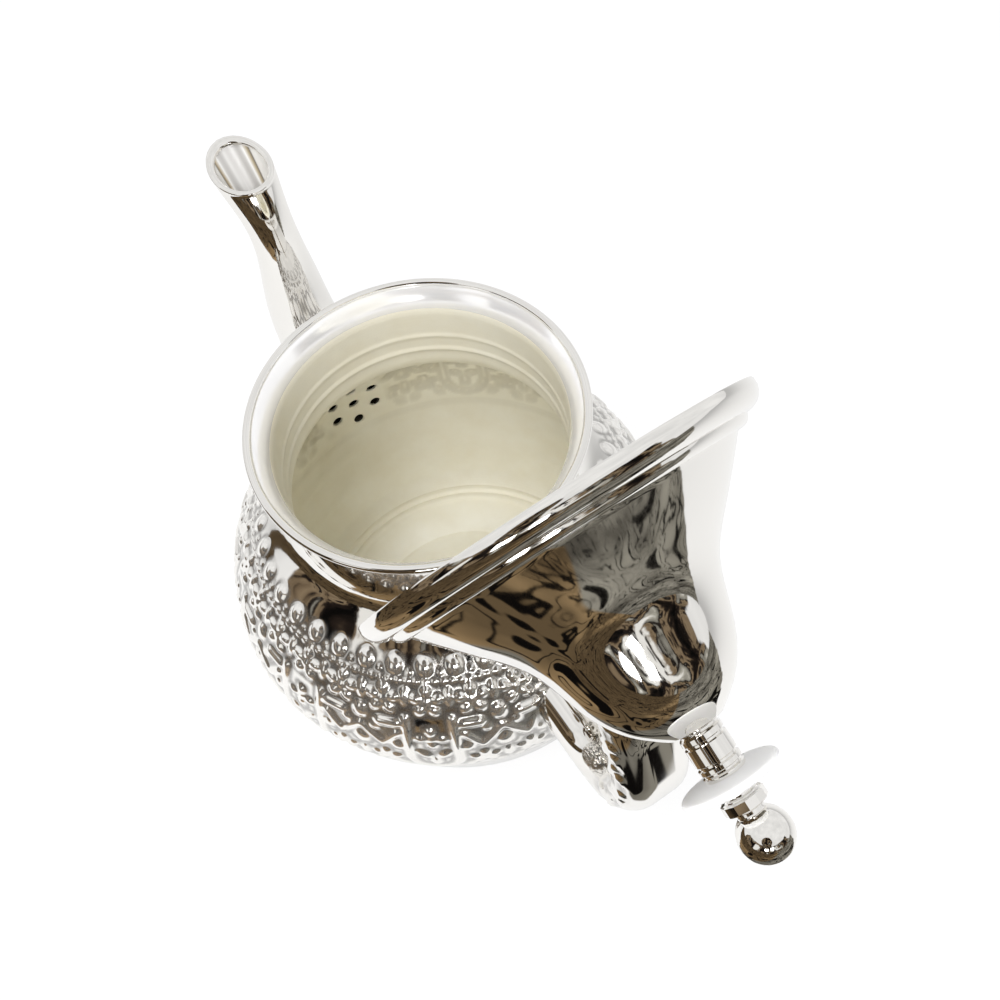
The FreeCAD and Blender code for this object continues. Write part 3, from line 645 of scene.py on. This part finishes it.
path = [(NEAR_NECK, HANDLE_CORNERS[0][1])]
for before, corner, after in zip(HANDLE_CORNERS, HANDLE_CORNERS[1:], HANDLE_CORNERS[2:]):
    path += rounded(before, corner, after)
path = np.array([*path, (NEAR_BELLY, HANDLE_CORNERS[-1][1])])
gone = np.r_[0, np.cumsum(np.linalg.norm(np.diff(path, axis=0), axis=1))]
stations = np.linspace(0, gone[-1], HANDLE_ROWS)
line = np.stack([np.interp(stations, gone, path[:, k]) for k in range(2)], -1)
for _ in range(6):
    line[1:-1] = (line[:-2] + 2 * line[1:-1] + line[2:]) / 4
ahead = np.gradient(line, axis=0)
ahead /= np.linalg.norm(ahead, axis=1, keepdims=True)
outward = np.stack([-ahead[:, 1], ahead[:, 0]], -1)      # away from the hand's gap

# The bar's section: four rounded edges, each with its turn in degrees, and flats between them
flat_x = HANDLE_W / 2 - HANDLE_EDGE_R
flat_y = HANDLE_T / 2 - HANDLE_EDGE_R
section = []
for hub_x, hub_y, quarter in ((flat_x, flat_y, 0), (-flat_x, flat_y, 90),
                              (-flat_x, -flat_y, 180), (flat_x, -flat_y, 270)):
    for degrees in quarter + np.linspace(0, 90, 10):
        angle = math.radians(degrees)
        edge_x = hub_x + HANDLE_EDGE_R * math.cos(angle)
        edge_y = hub_y + HANDLE_EDGE_R * math.sin(angle)
        section.append((edge_x, edge_y, angle))
ring = []
for (x0, y0, angle), (x1, y1, _) in zip(section, section[1:] + section[:1]):
    count = max(1, round(math.hypot(x1 - x0, y1 - y0) / 0.6))
    ring += [(x0 + (x1 - x0) * k / count, y0 + (y1 - y0) * k / count, angle) for k in range(count)]
ring_x, ring_y, ring_angle = np.array(ring).T
HANDLE_COLUMNS = len(ring)

# The leaves, on the bar's sides only. They fade out about 2 cm from either solder joint.
reach_along, across = np.meshgrid(stations, ring_y, indexing="ij")
on_side = np.clip((np.abs(np.cos(ring_angle)) - 0.85) / 0.12, 0, 1)[None, :]
ends = np.clip((stations - 22) / 8, 0, 1) * np.clip((stations[-1] - 24 - stations) / 8, 0, 1)
leaf_x = reach_along % LEAF_STEP - LEAF_STEP / 2
fold = np.abs(across)
leaves = np.maximum.reduce([0.6 * rib(leaf_x, across, [(-12, 0.0), (12, 0.0)], 0.9),
                            boss(leaf_x, fold, -4.5, 2.7, 5.4, 1.6, 24),
                            boss(leaf_x, fold, 5.2, 2.5, 4.4, 1.5, 30),
                            0.9 * boss(leaf_x, fold, -10.5, 1.6, 2.4, 1.1, 20),
                            0.9 * boss(leaf_x, across, 0.6, 0.0, 2.6, 1.7)])
for _ in range(2):
    leaves = (np.roll(leaves, 1, 1) + 2 * leaves + np.roll(leaves, -1, 1)) / 4
    leaves[1:-1] = (leaves[:-2] + 2 * leaves[1:-1] + leaves[2:]) / 4
cast = LEAF_H * leaves * on_side * ends[:, None]

# The bar is a tenth wider towards its lower bend, and its back is crowned for the palm.
swell = 1 + 0.10 * np.exp(-((stations - 0.80 * stations[-1]) / 16) ** 2)
crown = (1.7 * (1 - (ring_x / (HANDLE_W / 2)) ** 2) - 0.9) * np.clip(ring_y / (HANDLE_T / 2), 0, 1)
bar_y = ring_x[None, :] * swell[:, None] + np.cos(ring_angle)[None, :] * cast
off_line = (ring_y + crown)[None, :, None] * outward[:, None, :]
bar = np.stack([line[:, None, 0] + off_line[..., 0], bar_y, line[:, None, 1] + off_line[..., 1]], -1)
faces = grid_faces(HANDLE_ROWS, HANDLE_COLUMNS, first=0, outward=True)
hubs = []
for end, first in ((0, 0), (-1, (HANDLE_ROWS - 1) * HANDLE_COLUMNS)):     # filed to half the wall's depth
    wall = np.interp(bar[end, :, 2], side[:, 1], side[:, 0]) - WALL / 2
    bar[end, :, 0] = -np.sqrt(wall ** 2 - bar[end, :, 1] ** 2)
    hub = HANDLE_ROWS * HANDLE_COLUMNS + len(hubs)
    hub_z = bar[end, :, 2].mean()
    hubs.append((WALL / 2 - np.interp(hub_z, side[:, 1], side[:, 0]), 0, hub_z))
    rim = [(first + i, first + (i + 1) % HANDLE_COLUMNS) for i in range(HANDLE_COLUMNS)]
    faces += [[hub, b, a] if end == 0 else [hub, a, b] for a, b in rim]
points = np.vstack([bar.reshape(-1, 3), hubs]) * MM
handle = smooth_piece("handle_bar", points.tolist(), faces, [polished_silver], sharp=70)
# Between the leaves, on the flat of the sides, dark polish is left and deepened as painted shade.
between = 0.5 * (1 - np.clip(leaves / 0.5, 0, 1)) * on_side * ends[:, None]
between = between * np.clip(4.6 - fold, 0, 1)     # the flat of the side, without its rounded edges
mark_points(handle, "polish_and_painted_shade", np.r_[between.ravel(), np.zeros(len(hubs))])
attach(handle, "pot")
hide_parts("handle")

# The hinge is a bracket soldered on the rim with two knuckles, a tab with one knuckle on the lid, and a
# pin peened over at both ends. All are plated with the pot.
for name in ("hinge_leaf_body", "hinge_leaf_lid", "hinge_pin"):
    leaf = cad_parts[name]
    leaf.data.materials.clear()
    leaf.data.materials.append(polished_silver)

# The lid is a bell spun from 1 mm sheet: two rolls at its edge, a flowing skirt, a waist and a dome with
# a flat on top for the finial. It is buffed outside and satin inside, and leans open on the handle.
LID_COLUMNS = 288
HINGE = Vector((-46.6, 0, 126.691)) * MM
LID_EDGE_Z = 125.291 * MM
LID_OPEN = 113.86         # degrees
STUD_HOLE_R = 1.6
SEAT_Z = 48.5             # the flat on top, above the lid's edge
lid_place = (Matrix.Translation(HINGE) @ Matrix.Rotation(math.radians(-LID_OPEN), 4, "Y")
             @ Matrix.Translation(-HINGE) @ Matrix.Translation((0, 0, LID_EDGE_Z)))
bell = smooth_line([(36.0, 6.8), (27.2, 16.6), (20.9, 24.2), (16.5, 35.8), (11.0, 44.5), (6.0, SEAT_Z)], 90)
bell_way = np.gradient(bell, axis=0)
bell_way /= np.linalg.norm(bell_way, axis=1, keepdims=True)
bell_in = bell + np.stack([-bell_way[:, 1], bell_way[:, 0]], -1) * WALL
bell_in[-1, 1] = SEAT_Z - WALL
lid_outside = [(43.1, 0.0), (43.3, 0.3), (43.3, 1.4), *bent((43.3, 1.6), (39.3, 4.9), 0.95, 16),
               *bent((39.1, 4.9), (36.1, 6.75), 0.75, 12), *bell[1:], (STUD_HOLE_R, SEAT_Z)]
lid_inside = [(STUD_HOLE_R, SEAT_Z - WALL), *bell_in[::-1], *bent((35.3, 6.0), (38.5, 4.1), -0.6, 8),
              *bent((38.6, 4.0), (42.3, 1.5), -0.7, 10), (42.3, 0.3), (42.5, 0.0)]
points, faces = turned(lid_outside + lid_inside, LID_COLUMNS)
lid = smooth_piece("lid_bell", points, faces, [polished_silver, satin_silver], sharp=50)
finish_faces(lid, np.arange(len(faces)) >= LID_COLUMNS * len(lid_outside))
lid.matrix_world = lid_place
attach(lid, "lid")
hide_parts("lid_shell")

# The finial hangs on one steel stud. Under the crown a washer and a hexagon nut pull it tight; the ball
# is screwed on its other end. They are plain zinc-bright hardware.

# Bright zinc on turned steel: a grey, half-blurred shine, with fine tool lines 0.35 mm apart.
bright_steel, tree = finish_named("bright_zinc_steel_turned")
place = add(tree, "ShaderNodeTexCoord").outputs["Object"]
stretch = add(tree, "ShaderNodeMapping", {"Vector": place, "Scale": (1, 0.1, 1)})
lines = add(tree, "ShaderNodeTexNoise", {"Vector": stretch, "Scale": 1 / (0.35 * MM), "Detail": 3.0})
bump = add(tree, "ShaderNodeBump", {"Height": lines, "Strength": 0.2, "Distance": 0.03 * MM})
tone = add(tree, "ShaderNodeMix", {"Factor": lines, "A": linear("#A9A8A4"), "B": linear("#C9C8C4")},
           data_type="RGBA")
steel = add(tree, "ShaderNodeBsdfPrincipled",
            {"Base Color": tone, "Metallic": 1.0, "Roughness": 0.3, "Normal": bump})
add(tree, "ShaderNodeOutputMaterial", {"Surface": steel})
for name in ("finial_stud", "finial_washer", "finial_nut"):
    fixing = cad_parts[name]
    fixing.data.materials.clear()
    fixing.data.materials.append(bright_steel)

# The sleeve is turned brass, plated: a narrow foot on the lid's flat, a plain barrel, and two V-grooves
# below the disc. The stud runs through it.
FINIAL_COLUMNS = 96
SLEEVE_H = 10.2
sleeve_outline = [(STUD_HOLE_R, 0), (4.0, 0), *bent((4.05, 0.1), (4.0, 1.1), -0.25, 5), (4.3, 1.25),
                  (4.4, 1.4), (4.4, 2.35), (4.0, 2.6), (4.0, 3.0), (4.4, 3.25), (4.4, 6.75),
                  (3.95, 7.05), (3.95, 7.4), (4.4, 7.7), (4.4, 8.5), (3.95, 8.75), (3.95, 9.1),
                  (4.4, 9.4), (4.4, 10.0), (4.25, SLEEVE_H), (STUD_HOLE_R, SLEEVE_H)]
points, faces = turned([(r, z + SEAT_Z) for r, z in sleeve_outline], FINIAL_COLUMNS)
sleeve = smooth_piece("sleeve_turned", points, faces, [polished_silver], sharp=30)
sleeve.matrix_world = lid_place
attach(sleeve, "lid")
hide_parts("finial_sleeve")

# The disc keeps the lid's heat from the fingers: a saucer moulded in white nylon, hollow towards the
# lid and round towards the ball, clamped between sleeve and collar.

# Moulded nylon: a milky white that lets light in by a millimetre, with a soft gloss and an orange peel
# of 0.7 mm.
white_nylon, tree = finish_named("white_nylon_moulded")
place = add(tree, "ShaderNodeTexCoord").outputs["Object"]
flow = add(tree, "ShaderNodeTexNoise", {"Vector": place, "Scale": 1 / (6 * MM), "Detail": 3.0})
tone = add(tree, "ShaderNodeMix", {"Factor": flow, "A": linear("#F5F5F6"), "B": linear("#FBFBFA")},
           data_type="RGBA")
peel = add(tree, "ShaderNodeTexNoise", {"Vector": place, "Scale": 1 / (0.7 * MM), "Detail": 2.0})
bump = add(tree, "ShaderNodeBump", {"Height": peel, "Strength": 0.12, "Distance": 0.03 * MM})
gloss = add(tree, "ShaderNodeMapRange", {"Value": flow, "To Min": 0.24, "To Max": 0.36})
nylon = add(tree, "ShaderNodeBsdfPrincipled",
            {"Base Color": tone, "Roughness": gloss, "IOR": 1.53, "Subsurface Weight": 0.2,
             "Subsurface Radius": (0.9 * MM, 0.9 * MM, 0.8 * MM), "Subsurface Scale": 1.0, "Normal": bump})
add(tree, "ShaderNodeOutputMaterial", {"Surface": nylon})
DISC_COLUMNS = 128
DISC_LOW = SEAT_Z + SLEEVE_H
DISC_T = 3.4
disc_outline = [(STUD_HOLE_R, 0), (4.4, 0), *bent((4.4, 0.0), (9.9, 0.75), 0.12, 8),
                *bent((9.95, 0.78), (9.95, 1.85), 0.45, 9), *bent((9.9, 1.9), (2.6, DISC_T), 0.6, 16),
                (STUD_HOLE_R, DISC_T)]
points, faces = turned([(r, z + DISC_LOW) for r, z in disc_outline], DISC_COLUMNS)
disc = smooth_piece("disc_saucer", points, faces, [white_nylon], sharp=40)
disc.matrix_world = lid_place
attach(disc, "lid")
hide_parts("insulator_disc")

# The collar is turned from brass and plated, with a neck on either side. Its middle is milled to twelve
# flats, so a fingertip can turn it tight on the disc.
COLLAR_LOW = DISC_LOW + DISC_T
COLLAR_H = 5.2
FLATS = 12
collar_rows = [(STUD_HOLE_R, 0, 0), (2.6, 0, 0), (2.6, 1.2, 0), (3.4, 1.3, 0), (3.5, 1.5, 0.2),
               (4.3, 1.55, 1), (4.58, 1.75, 1), (4.58, 3.6, 1), (4.3, 3.85, 1), (3.6, 3.9, 0.2),
               (3.2, 4.0, 0), (2.9, 4.3, 0), (2.9, 4.9, 0), (3.0, COLLAR_H, 0),
               (STUD_HOLE_R, COLLAR_H, 0)]    # radius, height, share of a flat
points = []
for r, z, flat_share in collar_rows:
    for i in range(FINIAL_COLUMNS):
        turn = 2 * math.pi * i / FINIAL_COLUMNS
        within_flat = (turn + math.pi / FLATS) % (2 * math.pi / FLATS) - math.pi / FLATS
        flat_r = r * math.cos(math.pi / FLATS) / math.cos(within_flat)
        radius = (r + (flat_r - r) * flat_share) * MM
        points.append((radius * math.cos(turn), radius * math.sin(turn), (z + COLLAR_LOW) * MM))
faces = grid_faces(len(collar_rows), FINIAL_COLUMNS, first=0, outward=True)
last = (len(collar_rows) - 1) * FINIAL_COLUMNS
for i in range(FINIAL_COLUMNS):
    beside = (i + 1) % FINIAL_COLUMNS
    faces.append([last + i, last + beside, beside, i])
collar = smooth_piece("collar_faceted", points, faces, [polished_silver], sharp=18)
collar.matrix_world = lid_place
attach(collar, "lid")
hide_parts("finial_ring")

# The ball is a brass casting, plated and buffed, a little flat on top. It is bored for the stud and
# screws down on the collar.
BALL_LOW = COLLAR_LOW + COLLAR_H
BALL_R = 5.6
BALL_SEAT_R = 3.0
BALL_FLAT = 0.985         # height of its upper half, against a true ball
STUD_R = 1.5
BORE_H = 4.8
ball_mid = math.sqrt(BALL_R ** 2 - BALL_SEAT_R ** 2)
ball_outline = [(STUD_R, BORE_H), (STUD_R, 0), (2.6, 0)]
for t in np.linspace(-math.acos(BALL_SEAT_R / BALL_R), math.pi / 2, 44)[:-1]:
    squash = 1 if t < 0 else BALL_FLAT
    ball_outline.append((BALL_R * math.cos(t), ball_mid + BALL_R * math.sin(t) * squash))
ball_outline += [(0, ball_mid + BALL_FLAT * BALL_R), (0, BORE_H)]
points, faces = turned([(r, z + BALL_LOW) for r, z in ball_outline], FINIAL_COLUMNS)
ball = smooth_piece("ball_knob", points, faces, [polished_silver], sharp=50)
ball.matrix_world = lid_place
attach(ball, "lid")
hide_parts("finial_ball")

# The stage: a plain pale floor, a white tent that stands open on one side, as for any bright metal,
# three soft lamps, two small ones for glints, and the camera close above the pot.
FLOOR_HALF = 4            # metres
floor_mesh = bpy.data.meshes.new("floor")
floor_mesh.from_pydata([(-FLOOR_HALF, -FLOOR_HALF, 0), (FLOOR_HALF, -FLOOR_HALF, 0),
                        (FLOOR_HALF, FLOOR_HALF, 0), (-FLOOR_HALF, FLOOR_HALF, 0)], [], [(0, 1, 2, 3)])
floor = bpy.data.objects.new("floor", floor_mesh)
bpy.context.scene.collection.objects.link(floor)

# Pale paper: matt and even. What the metal mirrors is only a sheet of it, which ends about 12 cm from
# the pot's axis on the open side, and beyond it a dim veined ground, part brown and part grey.
pale_floor, tree = finish_named("pale_floor")
paper = add(tree, "ShaderNodeBsdfDiffuse", {"Color": linear("#F6F6F6")})
spot = add(tree, "ShaderNodeNewGeometry").outputs["Position"]
across_y = add(tree, "ShaderNodeSeparateXYZ", {"Vector": spot}).outputs["Y"]
out_from = add(tree, "ShaderNodeVectorMath", {0: spot, 1: (-0.82, 0.57, 0)}, operation="DOT_PRODUCT")
beside = add(tree, "ShaderNodeVectorMath", {0: spot, 1: (-0.5, 0.866, 0)}, operation="DOT_PRODUCT")
beside = add(tree, "ShaderNodeMath", {0: beside, 1: 0.06}, operation="SUBTRACT")
further = add(tree, "ShaderNodeMath", {0: out_from, 1: beside}, operation="MAXIMUM")
ragged = add(tree, "ShaderNodeTexNoise", {"Vector": spot, "Scale": 11.0, "Detail": 3.0})
edge = add(tree, "ShaderNodeMath", {0: ragged, 1: 0.05, 2: further}, operation="MULTIPLY_ADD")
beyond = add(tree, "ShaderNodeMapRange", {"Value": edge, "From Min": 0.144, "From Max": 0.149})
grain = add(tree, "ShaderNodeTexNoise", {"Vector": spot, "Scale": 5.0, "Detail": 3.0, "Distortion": 0.5})
brown = add(tree, "ShaderNodeMix", {"Factor": grain, "A": linear("#6B5439"), "B": linear("#BEA279")},
            data_type="RGBA")
grey = add(tree, "ShaderNodeMix", {"Factor": grain, "A": linear("#57534A"), "B": linear("#B9B5A9")},
           data_type="RGBA")
brown_hand = add(tree, "ShaderNodeMapRange", {"Value": across_y, "From Min": 0.08, "From Max": 0.09})
ground = add(tree, "ShaderNodeMix", {"Factor": brown_hand, "A": grey, "B": brown}, data_type="RGBA")
gloom = add(tree, "ShaderNodeTexNoise", {"Vector": spot, "Scale": 3.2, "Detail": 3.0})
gloom = add(tree, "ShaderNodeMapRange",
            {"Value": gloom, "From Min": 0.44, "From Max": 0.6, "To Min": 0.0, "To Max": 0.7})
near_gloom = add(tree, "ShaderNodeMapRange",
                 {"Value": across_y, "From Min": 0.18, "From Max": 0.26, "To Min": 0.0, "To Max": 0.7})
gloom = add(tree, "ShaderNodeMath", {0: gloom, 1: near_gloom}, operation="MAXIMUM")
ground = add(tree, "ShaderNodeMix", {"Factor": gloom, "A": ground, "B": linear("#201A15")},
             data_type="RGBA")
marbling = add(tree, "ShaderNodeTexNoise", {"Vector": spot, "Scale": 4.2, "Detail": 2.5, "Distortion": 1.5})
veins = add(tree, "ShaderNodeValToRGB", {"Fac": marbling}, stops=(
    (0.40, "#FFFFFF"), (0.41, "#000000"), (0.454, "#000000"), (0.457, "#FFFFFF"), (0.464, "#FFFFFF"),
    (0.467, "#000000"), (0.512, "#000000"), (0.515, "#FFFFFF"), (0.522, "#FFFFFF"), (0.525, "#000000"),
    (0.565, "#000000"), (0.57, "#FFFFFF"), (0.598, "#FFFFFF"), (0.60, "#000000")))
ground = add(tree, "ShaderNodeMix", {"Factor": veins, "A": ground, "B": linear("#0E0C0B")},
             data_type="RGBA")
seen = add(tree, "ShaderNodeLightPath")
in_metal = seen.outputs["Is Glossy Ray"]
ground_in_metal = add(tree, "ShaderNodeMath", {0: in_metal, 1: beyond}, operation="MULTIPLY")
sheet = add(tree, "ShaderNodeMix", {"Factor": in_metal, "A": (1, 1, 1, 1), "B": (0.6, 0.6, 0.6, 1)},
            data_type="RGBA")
tone = add(tree, "ShaderNodeMix", {"Factor": ground_in_metal, "A": sheet, "B": ground}, data_type="RGBA")
shown = add(tree, "ShaderNodeEmission", {"Color": tone, "Strength": 1.0})
share = add(tree, "ShaderNodeMath", {0: ground_in_metal, 1: 0.5, 2: 0.5}, operation="MULTIPLY_ADD")
share = add(tree, "ShaderNodeMath", {0: share, 1: in_metal}, operation="MULTIPLY")
share = add(tree, "ShaderNodeMath", {0: seen.outputs["Is Camera Ray"], 1: 0.82, 2: share},
            operation="MULTIPLY_ADD")
mixed = add(tree, "ShaderNodeMixShader", {0: share, 1: paper, 2: shown})
add(tree, "ShaderNodeOutputMaterial", {"Surface": mixed})
floor_mesh.materials.append(pale_floor)

# The tent, as the metal mirrors it: white cloth with a ragged opening on the camera's side, a peak over
# that, and a mottled dark behind with two lit panes in it. Other rays get an even grey fill.
world = bpy.data.worlds.new("tent")
bpy.context.scene.world = world
world.use_nodes = True
tree = world.node_tree
tree.nodes.clear()
way = add(tree, "ShaderNodeTexCoord").outputs["Generated"]
ragged = add(tree, "ShaderNodeTexNoise", {"Vector": way, "Scale": 3.4, "Detail": 3.0})
facing = add(tree, "ShaderNodeVectorMath", {0: way, 1: (-0.793, 0.609, 0)}, operation="DOT_PRODUCT")
edge = add(tree, "ShaderNodeMath", {0: ragged, 1: 0.3, 2: facing}, operation="MULTIPLY_ADD")
opening = add(tree, "ShaderNodeMapRange", {"Value": edge, "From Min": 0.30, "From Max": 0.32})
lintel = add(tree, "ShaderNodeVectorMath", {0: way, 1: (-0.16, 0.12, -1.0)}, operation="DOT_PRODUCT")
under = add(tree, "ShaderNodeMath", {0: ragged, 1: 0.16, 2: lintel}, operation="MULTIPLY_ADD")
below = add(tree, "ShaderNodeMapRange", {"Value": under, "From Min": -0.28, "From Max": -0.26})
gap = add(tree, "ShaderNodeMath", {0: opening, 1: below}, operation="MULTIPLY")
peak = add(tree, "ShaderNodeVectorMath", {0: way, 1: (-0.542, 0.455, 0.707)}, operation="DOT_PRODUCT")
peak = add(tree, "ShaderNodeMath", {0: ragged, 1: 0.06, 2: peak}, operation="MULTIPLY_ADD")
peak = add(tree, "ShaderNodeMapRange", {"Value": peak, "From Min": 0.975, "From Max": 0.98})
gap = add(tree, "ShaderNodeMath", {0: gap, 1: peak}, operation="MAXIMUM")
mottle = add(tree, "ShaderNodeTexNoise",
             {"Vector": way, "Scale": 3.0, "Detail": 4.0, "Roughness": 0.55, "Distortion": 1.0})
behind = add(tree, "ShaderNodeValToRGB", {"Fac": mottle}, stops=(
    (0.36, "#0B0A09"), (0.44, "#241D19"), (0.46, "#6B5B48"), (0.51, "#8C7A62"), (0.525, "#151110"),
    (0.56, "#2A2522"), (0.575, "#77746C"), (0.65, "#A8A59B"), (0.72, "#F0EEE8")))
pane = add(tree, "ShaderNodeVectorMath", {0: way, 1: (-0.930, 0.198, 0.309)}, operation="DOT_PRODUCT")
second = add(tree, "ShaderNodeVectorMath", {0: way, 1: (-0.253, 0.945, 0.208)}, operation="DOT_PRODUCT")
pane = add(tree, "ShaderNodeMath", {0: pane, 1: second}, operation="MAXIMUM")
pane = add(tree, "ShaderNodeMath", {0: mottle, 1: 0.2, 2: pane}, operation="MULTIPLY_ADD")
pane = add(tree, "ShaderNodeMapRange", {"Value": pane, "From Min": 1.08, "From Max": 1.09})
behind = add(tree, "ShaderNodeMix", {"Factor": pane, "A": behind, "B": linear("#EDECE9")}, data_type="RGBA")
cloth = add(tree, "ShaderNodeMapRange",
            {"Value": ragged, "From Min": 0.3, "From Max": 0.7, "To Min": 0.76, "To Max": 0.92})
tent = add(tree, "ShaderNodeMix", {"Factor": gap, "A": cloth, "B": behind}, data_type="RGBA")
seen = add(tree, "ShaderNodeLightPath")
in_metal = seen.outputs["Is Glossy Ray"]
mirrored = add(tree, "ShaderNodeMath", {0: in_metal, 1: seen.outputs["Is Transmission Ray"]},
               operation="MAXIMUM")
filling = add(tree, "ShaderNodeMix",
              {"Factor": seen.outputs["Is Camera Ray"], "A": (0.44, 0.44, 0.44, 1), "B": (1, 1, 1, 1)},
              data_type="RGBA")
shown = add(tree, "ShaderNodeMix", {"Factor": mirrored, "A": filling, "B": tent}, data_type="RGBA")
glow = add(tree, "ShaderNodeBackground", {"Color": shown, "Strength": 1.0})
add(tree, "ShaderNodeOutputWorld", {"Surface": glow})

# Name, place, width and height in metres, watts, and whether the metal mirrors the lamp
LAMPS = (("lamp_over", (-0.20, 0.20, 1.15), 0.34, 0.34, 7.5, False),
         ("lamp_key", (-0.53, 0.44, 0.88), 0.40, 0.40, 6.5, False),
         ("lamp_back", (0.60, -0.12, 0.72), 0.40, 0.40, 1.8, False),
         ("lamp_front", (-0.75, 0.50, 0.36), 0.16, 0.12, 0.5, True),
         ("lamp_side", (-0.84, 0.26, 0.40), 0.12, 0.12, 0.4, True))
LAMPS_AIM = Vector((0, 0, 0.08))
for name, place, wide, high, power, glint in LAMPS:
    lamp = bpy.data.objects.new(name, bpy.data.lights.new(name, "AREA"))
    bpy.context.scene.collection.objects.link(lamp)
    lamp.data.shape = "RECTANGLE"
    lamp.data.size = wide
    lamp.data.size_y = high
    lamp.data.energy = power
    lamp.location = place
    lamp.rotation_euler = (LAMPS_AIM - Vector(place)).to_track_quat("-Z", "Y").to_euler()
    lamp.visible_glossy = glint

# The camera's place, its turn round the pot, its height above level, and its roll
CAMERA_AT = Vector((-156.04, 53.47, 356.29)) * MM
TURN = math.radians(-204.83)
UP_ANGLE = math.radians(59.70)
ROLL = math.radians(-9.91)
level = math.cos(UP_ANGLE)
to_camera = Vector((math.cos(TURN) * level, math.sin(TURN) * level, math.sin(UP_ANGLE)))
right = (-to_camera).cross(Vector((0, 0, 1))).normalized()
over = right.cross(-to_camera)
image_x = right * math.cos(ROLL) + over * math.sin(ROLL)
image_y = over * math.cos(ROLL) - right * math.sin(ROLL)
camera = bpy.data.objects.new("camera", bpy.data.cameras.new("camera"))
bpy.context.scene.collection.objects.link(camera)
facing = Matrix((image_x, image_y, to_camera)).transposed().to_4x4()
camera.matrix_world = Matrix.Translation(CAMERA_AT) @ facing
camera.data.sensor_width = 36.0
camera.data.lens = 40.94
camera.data.clip_start = 0.01
bpy.context.scene.camera = camera
bpy.context.scene.view_settings.view_transform = "Standard"
